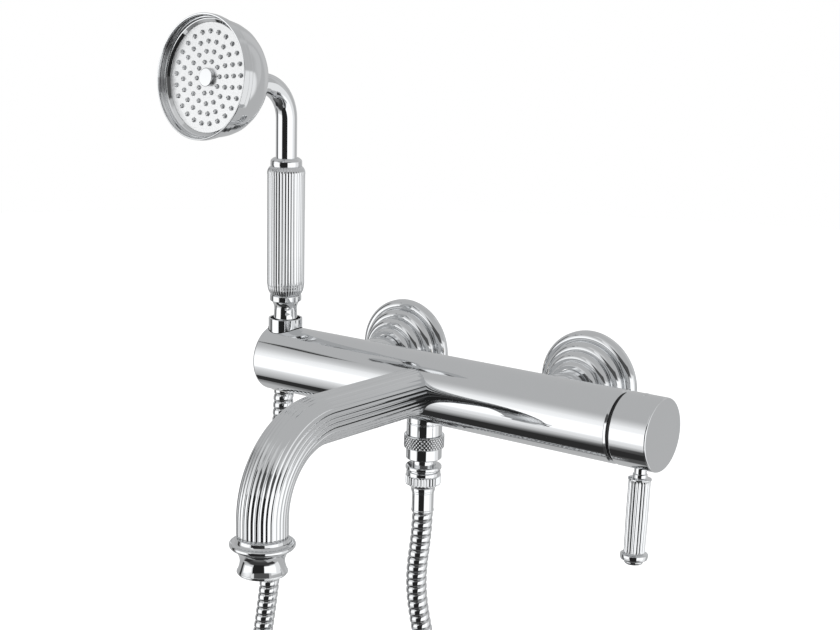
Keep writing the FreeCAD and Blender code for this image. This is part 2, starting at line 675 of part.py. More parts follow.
# Hose fittings
def make_hose_fittings():
    washer_top = shower_thread_bottom
    flange_top = washer_top - washer_thickness
    flange_bottom = flange_top - ferrule_flange
    pocket = shower_thread_radius + fit
    nut_points = [(pocket, nut_top), (nut_radius, nut_top), (nut_radius, nut_grip_top),
                  (nut_grip_radius, nut_grip_top), (nut_grip_radius, nut_grip_bottom),
                  (ferrule_radius + 1.0, nut_bottom + 1.3), (ferrule_radius + 0.7, nut_bottom),
                  (ferrule_radius + fit, nut_bottom), (ferrule_radius + fit, flange_bottom - fit),
                  (ferrule_radius + 2.0, flange_bottom - fit), (ferrule_radius + 2.0, washer_top),
                  (pocket, washer_top)]
    nut = turned(nut_points, shower_axis, UP)
    grip = fluted_rod(nut_grip_radius, nut_flutes, nut_grip_bottom, nut_grip_top, shower_axis, UP)
    waste = rod(nut_grip_radius + 1, nut_grip_bottom, nut_grip_top, shower_axis).cut(grip)
    save("hose_nut", nut.cut(waste))
    save("hose_washer", ring(ferrule_radius + 1.9, hose_bore, washer_top, flange_top, shower_axis))
    save("hose_ferrule", fused([ring(ferrule_radius + 1.9, hose_bore, flange_top, flange_bottom, shower_axis),
                                ring(ferrule_radius, hose_bore, flange_top, ferrule_bottom, shower_axis)]))
    fitting_collar = swivel_ferrule_top + seat_gap
    tail_bottom = hose_top + 3
    fitting = [(3.0, tail_bottom), (swivel_tail_radius, tail_bottom), (swivel_tail_radius, fitting_collar),
               (swivel_ferrule_radius, fitting_collar), (swivel_ferrule_radius, seat_bottom - 2.0),
               (tail_thread_radius, seat_bottom - 2.0), (tail_thread_radius, seat_bottom + 5.0),
               (3.0, seat_bottom + 5.0)]
    save("swivel_fitting", turned(fitting, holder_axis, UP))
    save("swivel_washer", ring(tail_thread_radius - 0.2, 3.0, seat_bottom + 5.0, seat_bottom + 6.2, holder_axis))
    save("swivel_ferrule", ring(swivel_ferrule_radius, swivel_tail_radius + running_fit, hose_top,
                                swivel_ferrule_top, holder_axis))


# Holder and hand shower
def make_holder():
    inner = holder_radius - holder_wall
    cup = rod(holder_radius, 12, holder_top, holder_axis).cut(body_bar(body_radius + 0.05, body_left - 5, holder_x + 20))
    cup = fused([cup, rod(guide_radius, guide_top, holder_top - 2, holder_axis)])
    funnel = turned([(0.0, holder_top + 1), (0.0, guide_top - 1), (guide_bore, guide_top - 1),
                     (guide_bore, seat_bottom), (tail_seat_radius + seat_gap, seat_top), (inner, seat_top),
                     (inner, holder_top + 1)], holder_axis, UP)
    save("holder_cup", cup.cut(funnel))
    guide = ring(guide_radius, guide_bore, -body_radius - 2, guide_top, holder_axis)
    save("hose_guide", guide.common(body_bar(body_radius, body_left - 1, holder_x + 20)))


def make_handle():
    socket_bottom = tail_collar_bottom - 1.0
    tail = [(tail_thread_radius + fit, seat_bottom - 0.3), (tail_seat_radius - 1.1, seat_bottom - 0.3),
            (tail_seat_radius, seat_top), (tail_waist_radius + 0.5, holder_top - 0.6, -0.3),
            (tail_waist_radius, tail_waist_z, -0.1), (tail_collar_radius - 0.8, tail_collar_bottom, -0.9),
            (tail_collar_radius, tail_collar_bottom + 0.8), (tail_collar_radius, tail_top),
            (tube_radius + fit, tail_top), (tube_radius + fit, socket_bottom), (4.0, socket_bottom),
            (4.0, seat_bottom + 6.2), (tail_thread_radius + fit, seat_bottom + 6.2)]
    save("handle_tail", turned(tail, holder_axis, UP))
    grip_points = [(tube_radius + fit, tail_top), (grip_end_radius, tail_top),
                   (grip_radius - 0.3, grip_shoulder_bottom, 0.5), (grip_radius, grip_shoulder_top),
                   (grip_end_radius + 0.3, grip_top, 0.9), (tube_radius + fit, grip_top),
                   (tube_radius + fit, grip_top - grip_wall), (grip_radius - grip_wall - 0.5, grip_shoulder_top - 2),
                   (grip_radius - grip_wall - 0.5, grip_shoulder_bottom + 2), (tube_radius + fit, tail_top + grip_wall)]
    fluted = fluted_rod(grip_radius, grip_flutes, tail_top - 1, grip_top + 1, holder_axis, UP)
    save("handle_grip", turned(grip_points, holder_axis, UP).common(fluted))
    collar = [(tube_radius + fit, grip_top), (collar_radius, grip_top), (collar_radius, grip_top + 3.2, 0.3),
              (collar_radius - 2.0, collar_top, 0.5), (tube_radius + fit, collar_top)]
    save("handle_collar", turned(collar, holder_axis, UP))
    level, toward = rose_direction()
    corner = V(holder_x, axis_y, elbow_height)
    reach = elbow_radius * math.tan((math.pi / 2 - math.radians(rose_tilt)) / 2)
    start, end = corner + DOWN * reach, corner + toward * reach
    centre = start + level * elbow_radius
    middle = centre + (corner - centre).normalize() * elbow_radius
    first = V(holder_x, axis_y, socket_bottom)
    last = corner + toward * (rose_reach - rose_depth + 4.0)
    path = Part.Wire([Part.LineSegment(first, start).toShape(), Part.Arc(start, middle, end).toShape(),
                      Part.LineSegment(end, last).toShape()])
    outer = swept(path, [Part.Wire(Part.makeCircle(tube_radius, first, UP))])
    inner = swept(path, [Part.Wire(Part.makeCircle(tube_bore, first, UP))])
    save("handle_tube", outer.cut(inner))


def rose_direction():
    """The level direction of the rose's arm and the direction of the rose's own axis."""
    tilt, turn = math.radians(rose_tilt), math.radians(rose_turn)
    level = V(math.sin(turn), -math.cos(turn), 0)
    return level, level * math.cos(tilt) + UP * math.sin(tilt)


def rose_frame():
    """Centre of the rose's front, the direction back into it and the level one across it."""
    level, toward = rose_direction()
    return V(holder_x, axis_y, elbow_height) + toward * rose_reach, toward * -1, UP.cross(level)


def around_rose(front, back, across, radius, angle):
    """A point on a circle round the rose's axis."""
    return front + across * (radius * math.cos(angle)) + back.cross(across) * (radius * math.sin(angle))


def jet_places(front, back, across):
    """Centres of all the spray jets, ring by ring."""
    for row, count in enumerate(jet_counts):
        radius = first_jet_ring + row * jet_ring_step
        for index in range(count):
            angle = math.radians(jet_start) + 2 * math.pi * index / count
            yield around_rose(front, back, across, radius, angle)


def make_rose():
    front, back, across = rose_frame()
    pocket_back = plate_recess + plate_thickness
    rim_back = pocket_back + 1.7
    seal_back = rim_back + 1.6
    spreader_back = seal_back + 2.0
    spigot = rose_radius - rose_wall - fit
    rim = [(plate_radius + fit, 1.6), (plate_radius + 1.3, 0.2, -0.5), (rim_radius - 1.4, 0.2),
           (rim_radius, 1.5, -0.5), (rim_radius, 2.6), (rose_radius + 0.2, 3.4),
           (rose_radius + 0.2, 4.0), (spigot, 4.0), (spigot, rim_back), (plate_radius - 1.8, rim_back),
           (plate_radius - 1.8, pocket_back + 0.1), (plate_radius + fit, pocket_back + 0.1)]
    save("rose_rim", turned(rim, front, back))
    wall = rose_wall
    hub = tube_radius + fit
    dome = [(rose_radius - inset, depth) for inset, depth in dome_points]
    inside = [(radius - wall - 0.3, depth - 0.8) for radius, depth in reversed(dome[1:])]
    shell = [(rose_radius - wall, 4.0), (rose_radius, 4.0), (rose_radius, 8.4), (rose_radius - 0.6, 9.2)] + dome
    shell += [(dome_radius, 36.4), (hub + 1.4, rose_depth, 0.8), (hub, rose_depth), (hub, rose_depth - 4.0),
              (dome_radius - 1.6, 34.4)] + inside
    shell += [(rose_radius - 1.2 - wall, seal_back + 1.0), (rose_radius - 1.2 - wall, seal_back),
              (rose_radius - wall, seal_back)]
    save("rose_shell", turned(shell, front, back))
    save("rose_seal", ring(spigot, plate_radius - 1.0, rim_back, seal_back, front, back))
    plate = rod(plate_radius, plate_recess, plate_recess + plate_thickness, front, back)
    places = list(jet_places(front, back, across))
    plate_holes = [rod(jet_radius + fit, plate_recess - 1, pocket_back + 1, place, back) for place in places]
    plate = plate.cut(Part.makeCompound(plate_holes)).cut(rod(2.0 + fit, 0, rim_back, front, back))
    save("spray_plate", plate)
    mat_start = pocket_back + fit
    mat = rod(plate_radius - 1.9, mat_start, rim_back, front, back)
    nubs = [rod(jet_radius, plate_recess - jet_proud, mat_start + 0.5, place, back) for place in places]
    mat = mat.fuse(nubs)
    mat = mat.cut(Part.makeCompound([rod(jet_hole, 0, seal_back, place, back) for place in places]))
    save("jet_mat", mat.cut(rod(2.0 + fit, 0, seal_back, front, back)))
    spreader = fused([rod(spigot - 1.6, seal_back, spreader_back, front, back),
                      rod(4.5, rim_back, spreader_back + 5.4, front, back)])
    vents = []
    for index in range(12):
        angle = 2 * math.pi * index / 12
        centre = around_rose(front, back, across, vent_ring, angle)
        vents.append(rod(3.0, rim_back, spreader_back + 1, centre, back))
    screw_end = spreader_back + 3.9
    save("water_spreader", cut_all(spreader, vents + [rod(2.0 + fit, 8, screw_end + 0.5, front, back)]))
    screw_top = plate_recess - disc_screw_proud
    screw = [(0.0, screw_top), (disc_screw_radius - 0.5, screw_top), (disc_screw_radius, screw_top + 0.5),
             (disc_screw_radius, plate_recess - 0.05), (2.0, plate_recess - 0.05), (2.0, screw_end), (0.0, screw_end)]
    save("plate_screw", turned(screw, front, back))


# Hose
def tube_route(points):
    """Straight runs joined by tangent arcs, each as large as its two runs allow."""
    share = 0.45
    edges = []
    here = points[0]
    for before, corner, after in zip(points, points[1:], points[2:]):
        first, second = (corner - before), (after - corner)
        turn = first.getAngle(second)
        trim = share * min(first.Length, second.Length)
        radius = trim / math.tan(turn / 2)
        start, end = corner - V(first).normalize() * trim, corner + V(second).normalize() * trim
        chord = (start + end) * 0.5
        inward = (chord - corner).normalize()
        middle = corner + inward * (math.hypot(radius, trim) - radius)
        edges.append(Part.LineSegment(here, start).toShape())
        edges.append(Part.Arc(start, middle, end).toShape())
        print("hose bend radius %.0f mm, turn %.1f degrees" % (radius, math.degrees(turn)))
        here = end
    edges.append(Part.LineSegment(here, points[-1]).toShape())
    return Part.Wire(edges)


def point_on(wire, distance):
    """Point and direction at a distance along a wire."""
    for edge in wire.Edges:
        if distance <= edge.Length or edge.isSame(wire.Edges[-1]):
            value = edge.getParameterByLength(min(distance, edge.Length))
            return edge.valueAt(value), edge.tangentAt(value)
        distance -= edge.Length


def steady_circle(centre, along, radius):
    """Circle square to the path, whose own X axis keeps to one side so that the loft has no twist."""
    across = (RIGHT - along * RIGHT.dot(along)).normalize()
    axes = FreeCAD.Rotation(across, along.cross(across), along, "ZXY")
    circle = Part.makeCircle(radius)
    circle.Placement = FreeCAD.Placement(centre, axes)
    return Part.Wire(circle)


def ribbed_hose(points):
    """Ribbed tube with its bore: four circles for each rib, plain for a short way at both ends."""
    wire = tube_route(points)
    count = int((wire.Length - 2 * plain_end) / rib_pitch)
    first_rib = (wire.Length - count * rib_pitch) / 2
    marks = [(0.0, hose_valley_radius)]
    for index in range(count):
        for mark, radius in zip(rib_marks, (hose_valley_radius, hose_radius, hose_radius, hose_valley_radius)):
            marks.append((first_rib + index * rib_pitch + mark, radius))
    marks.append((wire.Length, hose_valley_radius))
    circles = [steady_circle(*point_on(wire, distance), radius) for distance, radius in marks]
    outer = Part.makeLoft(circles, True, True)
    bore_marks = [wire.Length * index / (2 * count) for index in range(2 * count + 1)]
    bores = [steady_circle(*point_on(wire, distance), hose_bore) for distance in bore_marks]
    inner = Part.makeLoft(bores, True, True)
    print("ribbed hose: %d ribs, length %.1f mm" % (count, wire.Length))
    return outer.cut(inner), wire.Length


def coil_point(turn):
    """Point and direction on the coil, counted in turns from where the left leg enters it."""
    angle = math.pi + 2 * math.pi * turn
    rise = coil_pitch / (2 * math.pi)
    place = V(coil_x + coil_radius * math.cos(angle), coil_front_y + coil_pitch * turn,
              coil_z + coil_radius * math.sin(angle))
    return place, V(-coil_radius * math.sin(angle), rise, coil_radius * math.cos(angle)).normalize()


def biarc(start, start_way, end, end_way):
    """Two tangent arcs between two points with given directions."""
    span = end - start
    total = start_way + end_way
    spread = 2 * (1 - start_way.dot(end_way))
    across = span.dot(total)
    reach = (-across + math.sqrt(across * across + spread * span.dot(span))) / spread
    first, second = start + start_way * reach, end - end_way * reach
    join = (first + second) * 0.5
    arcs = []
    for a, corner, b in ((start, first, join), (join, second, end)):
        chord = (a + b) * 0.5
        half, height = (b - a).Length / 2, (corner - chord).Length
        sagitta = half * math.tan(math.atan2(height, half) / 2)
        arcs.append(Part.Arc(a, chord + (corner - chord).normalize() * sagitta, b).toShape())
    return arcs


def coil_wire():
    quarters = int(round(coil_turns * 4))
    edges = []
    for index in range(quarters):
        start, start_way = coil_point(index / 4)
        end, end_way = coil_point((index + 1) / 4)
        edges += biarc(start, start_way, end, end_way)
    return Part.Wire(edges)


def least_self_gap():
    """Least clear distance between one turn of the coil and the next, from points along it."""
    per_turn = 90
    places = [coil_point(index / per_turn)[0] for index in range(int(coil_turns * per_turn) + 1)]
    least = min((places[a] - places[b]).Length for a in range(len(places))
                for b in range(a + per_turn // 2, len(places)))
    return least - 2 * hose_radius


def make_hose():
    start, start_way = coil_point(0)
    end, end_way = coil_point(coil_turns)
    left, left_length = ribbed_hose(left_leg + [start - start_way * left_run_in, start])
    save("hose_left_leg", left)
    right, right_length = ribbed_hose(right_leg + [end + end_way * right_run_in, end])
    save("hose_right_leg", right)
    path = coil_wire()
    tubes = [swept(path, [Part.Wire(Part.makeCircle(radius, start, start_way))])
             for radius in (hose_radius, hose_bore)]
    coil = tubes[0].cut(tubes[1])
    section = math.pi * (hose_radius ** 2 - hose_bore ** 2)
    print("coil: length %.1f mm, volume over section times length %.4f" % (path.Length, coil.Volume / section / path.Length))
    print("coil: least gap to itself %.2f mm" % least_self_gap())
    print("hose: whole length %.1f mm" % (left_length + path.Length + right_length))
    save("hose_coil", coil)
    make_tie()


def make_tie():
    """Flat band round the coil's three turns at its lowest point."""
    middle = coil_point(coil_turns / 2)[0]
    low_y = coil_point(0.25)[0].y
    high_y = coil_point(2.25)[0].y
    z = coil_z - coil_radius
    inner = hose_radius + tie_gap
    outer = inner + tie_thickness
    shapes = []
    for size in (outer, inner):
        long_box = block(V(middle.x - tie_width / 2, low_y, z - size), V(middle.x + tie_width / 2, high_y, z + size))
        ends = [rod(size, -tie_width / 2, tie_width / 2, V(middle.x, y, z), RIGHT) for y in (low_y, high_y)]
        shapes.append(fused([long_box] + ends))
    save("hose_tie", shapes[0].cut(shapes[1]))


def main():
    os.makedirs("parts", exist_ok=True)
    make_inlets()
    make_body()
    make_cartridge()
    make_lever()
    make_spout()
    make_shower_outlet()
    make_hose_fittings()
    make_holder()
    make_handle()
    make_rose()
    make_hose()
    print(len(parts), "nodes")


main()
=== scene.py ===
"""Dresses the wall mixer tap: chrome pieces, hand shower, hose, studio and camera.

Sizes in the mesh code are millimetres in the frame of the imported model, and become metres when a
mesh is made. X runs along the body with the lever at +X, the wall is y = 0, the room is at -Y.
A shape is a tuple of positions, normals and faces. A turned shape or a tube also has the angle of
each point round its axis, and a turned shape its heights. A profile is a closed list of
(radius, height) points; a third number is the height of the arc that leads to that point.
"""
import cmath
import json
import math

import bpy
import numpy as np
from mathutils import Matrix, Vector


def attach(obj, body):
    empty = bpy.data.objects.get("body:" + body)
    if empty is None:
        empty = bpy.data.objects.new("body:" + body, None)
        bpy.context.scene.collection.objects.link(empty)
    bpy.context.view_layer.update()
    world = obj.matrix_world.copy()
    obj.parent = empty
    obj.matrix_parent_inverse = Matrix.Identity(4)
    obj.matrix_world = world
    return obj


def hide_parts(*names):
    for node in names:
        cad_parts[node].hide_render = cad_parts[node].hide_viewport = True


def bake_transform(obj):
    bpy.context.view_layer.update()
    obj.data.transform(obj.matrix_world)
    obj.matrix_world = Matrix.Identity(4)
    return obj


bl_info = {
    "name": "Wall mixer tap",
    "version": (1, 0, 0),
    "blender": (4, 5, 0),
    "location": "3D View > Sidebar > Tap",
    "description": "Builds a wall mounted bath and shower mixer with its hand shower and hose",
    "category": "Object",
}

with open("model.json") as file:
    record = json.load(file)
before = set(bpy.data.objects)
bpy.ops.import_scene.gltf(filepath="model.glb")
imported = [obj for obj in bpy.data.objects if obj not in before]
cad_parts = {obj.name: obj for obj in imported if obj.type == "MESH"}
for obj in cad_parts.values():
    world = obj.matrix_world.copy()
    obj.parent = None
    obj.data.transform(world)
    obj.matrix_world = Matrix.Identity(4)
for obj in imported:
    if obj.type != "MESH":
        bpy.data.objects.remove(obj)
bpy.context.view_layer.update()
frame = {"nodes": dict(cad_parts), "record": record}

MM = 0.001
FULL_TURN = 2 * math.pi
RIGHT, OUT, UP, DOWN = Vector((1, 0, 0)), Vector((0, -1, 0)), Vector((0, 0, 1)), Vector((0, 0, -1))

# Profiles: the angle between an arc's points; the least angle that is eased as a corner, the share
# of an edge that this may take and its steps; the radius below which a point is a pole
ARC_STEP = math.radians(7)
CORNER, CORNER_SHARE, CORNER_STEPS = math.radians(16), 0.45, 4
POLE = 0.01
# Fillets: points round the pipe, across the hollow, and how far the foot reaches into the body
FILLET_SEGMENTS, FILLET_STEPS, FILLET_FOOT = 96, 7, 1.5
# Every which face is tried to see how a shape is turned, and the least length to divide by
FACE_SAMPLE, TINY = 7, 1e-9

# Places and sizes of the main pieces, angles in degrees
AXIS_Y = -79.7
INLET_X = 75.0
HOLDER_X = -121.2
SHOWER_X = -2.2
UNION_RADIUS, UNION_BORE, BOSS_END = 13.6, 11.3, 27.6
BAR_LEFT, BAR_RIGHT = -131.9, 144.0
CAP_LEFT, CAP_RIGHT = 146.4, 171.1
LEVER_X, LEVER_LEAN = 158.0, 3.0
SPOUT_Y, SPOUT_TILT, SPOUT_END, SPOUT_START = -243.2, 1.5, -56.8, 14.0
BELL_WAIST, BELL_BORE, BELL_BOTTOM = 13.2, 11.3, -79.3
THREAD_RADIUS = 10.4775
HANDLE_TUBE_RADIUS, HANDLE_TUBE_FOOT, HANDLE_TUBE_IN_ROSE = 7.1, 41.0, 4.0
ELBOW_HEIGHT, ELBOW_RADIUS = 186.8, 25.0
ROSE_TILT, ROSE_TURN = 7.1, -4.0
ROSE_REACH, ROSE_DEPTH, PLATE_DEPTH = 79.6, 41.5, 7.6
JET_COUNTS, JET_FIRST, JET_STEP, JET_START = (10, 15, 20, 25), 10.2, 6.3, -6.0
# How far the painted shade reaches round a nozzle's hole, and how high it reaches up from its foot
NOZZLE_HOLE, NOZZLE_FOOT = 0.43, 0.15

# Small reliefs in metres, and how narrow the groove between two ribs is
LEVER_FLUTE_DEPTH, NUT_FLUTE_DEPTH, GRIP_FLUTE_DEPTH = 0.0004, 0.0007, 0.0003
KNURL_HEIGHT, KNURL_DEPTH, RIB_DEPTH, RIB_SHARPNESS = 0.0028, 0.0004, 0.0009, 3.2
# The share of the cut from which on a groove is painted dark as shade, and how fast the painted
# shade deepens
KNURL_PAINTED_SHADE, RIB_PAINTED_SHADE = (0.64, 4.0), (0.62, 2.6)
# Whole turns added so that a fraction is never taken of a negative number
KNURL_SHIFT, RIB_SHIFT = 500.0, 10.0
# Points round one flute or diamond, along one turn of the hose's strip and round the hose
FLUTE_STEPS, GRIP_FLUTE_STEPS, DIAMOND_STEPS, RIB_STEPS, HOSE_SEGMENTS = 12, 10, 10, 10, 26

# The hose: right leg from its lower ferrule, the tied coil, and the left leg up into the holder
COIL_X, COIL_Z, COIL_FRONT = -62.0, -278.0, -98.6
COIL_RADIUS, COIL_TURNS, COIL_PITCH, COIL_POINTS = 71.0, 2.5, 14.8, 16
SPLINE_STEPS, STRAP_STEPS = 24, 24
HOSE_TOP, FERRULE_BOTTOM = 2.0, -84.5
LEFT_RUN_IN, RIGHT_RUN_IN = 34.0, 30.0
LEFT_LEG = [(HOLDER_X, AXIS_Y, HOSE_TOP), (HOLDER_X, AXIS_Y, -8.0), (-122.6, -81.0, -44.0),
            (-123.2, -83.4, -88.0), (-124.8, -86.8, -132.0), (-127.8, -92.0, -188.0)]
RIGHT_LEG = [(SHOWER_X, AXIS_Y, FERRULE_BOTTOM), (SHOWER_X, AXIS_Y, -98.0),
             (-7.0, -79.9, -134.0), (-3.4, -77.4, -166.0), (2.6, -70.2, -203.0)]

# Studio: the camera stands where the photograph was taken from
LENS, SENSOR = 72.377, 36.0
CAMERA_PLACE = (0.61127, -0.94896, 0.28099)
CAMERA_RIGHT, CAMERA_UP = (0.81151, 0.58392, 0.02221), (-0.14276, 0.16126, 0.97653)
FLOOR_Z, FLOOR_RADIUS, FLOOR_CORNERS, FLOOR_GLOW = -0.362, 3.0, 64, 0.45
LAMP_PLACE, LAMP_AIM, LAMP_SIZE, LAMP_WATTS = (-0.7, -1.2, 1.9), (0, -0.1, 0), 1.6, 14.0
WALL_TONE, SOFT_TONE, SOFT_STRENGTH = (0.52, 0.523, 0.526, 1), (0.95, 0.95, 0.96, 1), 0.75
PANEL_TINT, CLOUD_SCALE, CLOUD_TONE = (1.0, 1.005, 1.01), 8.0, 1.02


# Outlines and meshes
def arc_points(start, end, bulge):
    """Points of the arc from start to end, without start. The bulge is the arc's height."""
    chord = abs(end - start)
    across = (end - start) / chord * -1j
    radius = (chord ** 2 / 4 + bulge ** 2) / (2 * abs(bulge))
    centre = (start + end) / 2 + across * (bulge - math.copysign(radius, bulge))
    first = cmath.phase(start - centre)
    sweep = (cmath.phase(end - centre) - first + math.pi) % FULL_TURN - math.pi
    steps = max(4, int(abs(sweep) / ARC_STEP) + 1)
    return [centre + cmath.rect(radius, first + sweep * k / steps) for k in range(1, steps + 1)]


def outline(profile, edge, longest):
    """A profile as a dense closed line: corners eased by `edge`, no step above `longest`."""
    line = []
    for index, (radius, height, *bulge) in enumerate(profile):
        here = complex(radius, height)
        if bulge:
            line += arc_points(complex(*profile[index - 1][:2]), here, bulge[0])
        else:
            line.append(here)
    eased = []
    for index, here in enumerate(line):
        back, ahead = here - line[index - 1], line[(index + 1) % len(line)] - here
        if abs(cmath.phase(ahead * back.conjugate())) < CORNER or here.real < POLE:
            eased.append(here)
            continue
        first = here - back / abs(back) * min(edge, CORNER_SHARE * abs(back))
        last = here + ahead / abs(ahead) * min(edge, CORNER_SHARE * abs(ahead))
        for k in range(CORNER_STEPS + 1):
            s = k / CORNER_STEPS
            eased.append((1 - s) ** 2 * first + 2 * s * (1 - s) * here + s * s * last)
    if longest:
        line, eased = eased, []
        for here, after in zip(line, line[1:] + line[:1]):
            pole = max(here.real, after.real) < POLE
            steps = 1 if pole else max(1, math.ceil(abs(after - here) / longest))
            eased += [here + (after - here) * k / steps for k in range(steps)]
    return np.array([(place.real, place.imag) for place in eased])


def lathe(profile, origin, direction, segments=96, edge=0.2, longest=None):
    """Turned shape: the profile's heights run from the origin in the direction."""
    line = outline(profile, edge, longest)
    after = np.roll(line, -1, axis=0)
    if np.sum(line[:, 0] * after[:, 1] - after[:, 0] * line[:, 1]) < 0:
        line = line[::-1]
    ahead = np.roll(line, -1, axis=0) - line
    total = ahead + np.roll(ahead, 1, axis=0)
    slope = np.stack([total[:, 1], -total[:, 0]], 1)
    slope /= np.maximum(np.linalg.norm(slope, axis=1, keepdims=True), TINY)
    positions, normals, angles, rings, faces = [], [], [], [], []
    for (radius, height), (across, up) in zip(line, slope):
        start = len(positions)
        if radius < POLE:
            positions.append((0.0, 0.0, height))
            normals.append((0.0, 0.0, math.copysign(1.0, up)))
            angles.append(0.0)
            rings.append([start] * segments)
            continue
        for angle in np.arange(segments) * FULL_TURN / segments:
            c, s = math.cos(angle), math.sin(angle)
            positions.append((radius * c, radius * s, height))
            normals.append((across * c, across * s, up))
            angles.append(angle)
        rings.append(range(start, start + segments))
    for one, two in zip(rings, rings[1:] + rings[:1]):
        if one[0] == one[-1] and two[0] == two[-1]:
            continue
        for j in range(segments):
            k = (j + 1) % segments
            face = [one[j], one[k], two[k], two[j]]
            faces.append([v for n, v in enumerate(face) if v != face[n - 1]])
    if direction == DOWN:
        spin = np.array(Matrix.Rotation(math.pi, 3, "X"))
    else:
        spin = np.array(UP.rotation_difference(direction).to_matrix())
    positions = np.array(positions)
    return (positions @ spin.T + np.array(origin, float), np.array(normals) @ spin.T, faces,
            angles, positions[:, 2])


def band_faces(rings, around, closed=False):
    """Quads between rings of points, each with `around` points; `closed` joins last and first."""
    faces = []
    for i in range(rings if closed else rings - 1):
        low, high = i * around, (i + 1) % rings * around
        for j in range(around):
            k = (j + 1) % around
            faces.append([low + j, low + k, high + k, high + j])
    return faces


def swept(centres, tangents, across, radius, segments):
    """Open round tube along a path. The angles start at `across`, which follows the bends."""
    turn = np.arange(segments) * FULL_TURN / segments
    positions, outward = [], []
    for centre, tangent in zip(centres, tangents):
        across = across - tangent * (across @ tangent)
        across /= np.linalg.norm(across)
        out = (np.cos(turn)[:, None] * across
               + np.sin(turn)[:, None] * np.cross(tangent, across))
        positions.append(centre + out * radius)
        outward.append(out)
    return (np.concatenate(positions), np.concatenate(outward),
            band_faces(len(centres), segments), np.tile(turn, len(centres)))


def tube(centres, tangents, across, radius, segments):
    """Round tube along a path, closed at both ends."""
    positions, outward, faces, angles = swept(centres, tangents, across, radius, segments)
    for ring, sign in ((0, -1), (len(centres) - 1, 1)):
        middle = len(positions)
        positions = np.vstack([positions, centres[ring]])
        outward = np.vstack([outward, tangents[ring] * sign])
        for j in range(segments):
            pair = [ring * segments + j, ring * segments + (j + 1) % segments]
            faces.append([middle] + pair[::sign])
    return positions, outward, faces, np.append(angles, (0.0, 0.0))


def unit(way):
    return way / np.linalg.norm(way)


def bent_path(first, corner, last, bend, counts):
    """Centres and directions of a pipe from first to last with a round bend at the corner.

    The counts are the steps before, round and after the bend.
    """
    way_in, way_out = unit(corner - first), unit(last - corner)
    inward = unit(way_out - way_in * (way_in @ way_out))
    turn = math.acos(way_in @ way_out)
    start = corner - way_in * bend * math.tan(turn / 2)
    before, curved, after = counts
    centres = [first + (start - first) * k / before for k in range(before + 1)]
    tangents = [way_in] * (before + 1)
    for k in range(1, curved + 1):
        c, s = math.cos(turn * k / curved), math.sin(turn * k / curved)
        centres.append(start + inward * bend * (1 - c) + way_in * bend * s)
        tangents.append(way_in * c + inward * s)
    end = centres[-1]
    centres += [end + (last - end) * k / after for k in range(1, after + 1)]
    return centres, tangents + [way_out] * after


def saddle_fillet(bar, pipe, ease, x, direction):
    """Hollow round ring where a pipe of radius `pipe` leaves the body's bar, eased by `ease`."""
    direction = np.array(direction, float)
    axes = np.array(((1.0, 0.0, 0.0), np.cross((1.0, 0.0, 0.0), direction), direction))
    base = np.array((x, AXIS_Y, 0.0))
    positions, normals = [], []
    for angle in np.arange(FILLET_SEGMENTS) * FULL_TURN / FILLET_SEGMENTS:
        c, s = math.cos(angle), math.sin(angle)
        reach = (pipe + ease) * s
        height = math.sqrt((bar + ease) ** 2 - reach ** 2)
        centre = np.array(((pipe + ease) * c, reach, height))
        on_bar = centre * (1, bar / (bar + ease), bar / (bar + ease))
        a, b = (np.array((pipe * c, pipe * s, height)) - centre) / ease, (on_bar - centre) / ease
        sweep = math.acos(max(-1.0, min(1.0, float(a @ b))))
        for k in range(FILLET_STEPS):
            part = k / (FILLET_STEPS - 1) * sweep
            way = (math.sin(sweep - part) * a + math.sin(part) * b) / math.sin(sweep)
            positions.append(base + (centre + way * ease) @ axes)
            normals.append(-way @ axes)
        deep = np.array(((pipe - 1) * c, (pipe - 1) * s, height - ease - FILLET_FOOT))
        positions.append(base + deep @ axes)
        normals.append(-direction)
    faces = band_faces(FILLET_SEGMENTS, FILLET_STEPS + 1, closed=True)
    return np.array(positions), np.array(normals), faces


def facing(shape):
    """Turn the faces round if they look against the shape's own normals."""
    positions, normals, faces, *rest = shape
    total = 0.0
    for face in faces[::FACE_SAMPLE]:
        a, b, c = (positions[v] for v in face[:3])
        total += float(np.cross(b - a, c - a) @ sum(normals[v] for v in face[:3]))
    if total < 0:
        faces = [face[::-1] for face in faces]
    return (positions, normals, faces, *rest)


def joined(shapes):
    """Several shapes as one, without angles or heights."""
    positions, normals, faces, start = [], [], [], 0
    for shape in map(facing, shapes):
        positions.append(shape[0])
        normals.append(shape[1])
        faces += [[v + start for v in face] for face in shape[2]]
        start += len(shape[0])
    return np.concatenate(positions), np.concatenate(normals), faces


def leaned(shape):
    """Turn a lever piece about the body's axis by the lever's lean."""
    spin = np.array(Matrix.Rotation(math.radians(-LEVER_LEAN), 3, "X"))
    base = np.array((0.0, AXIS_Y, 0.0))
    return ((shape[0] - base) @ spin.T + base, shape[1] @ spin.T, *shape[2:])


def between(heights, low, high, ease_low, ease_high):
    """Mask of a turned shape: 1 between two heights, eased to 0 inside both."""
    return (np.clip((heights - low) / ease_low, 0, 1)
            * np.clip((high - heights) / ease_high, 0, 1))


def outside(shape, x, radius):
    """Mask of a shape: true beyond a radius from the upright line at x through the body's axis."""
    return np.hypot(shape[0][:, 0] - x, shape[0][:, 1] - AXIS_Y) > radius


def linked(name, data):
    """A new object in the scene."""
    thing = bpy.data.objects.new(name, data)
    bpy.context.scene.collection.objects.link(thing)
    return thing


def made_plain(thing):
    """What an object evaluates to, as a plain mesh. The object itself is removed."""
    depsgraph = bpy.context.evaluated_depsgraph_get()
    mesh = bpy.data.meshes.new_from_object(thing.evaluated_get(depsgraph), depsgraph=depsgraph)
    bpy.data.objects.remove(thing)
    return mesh


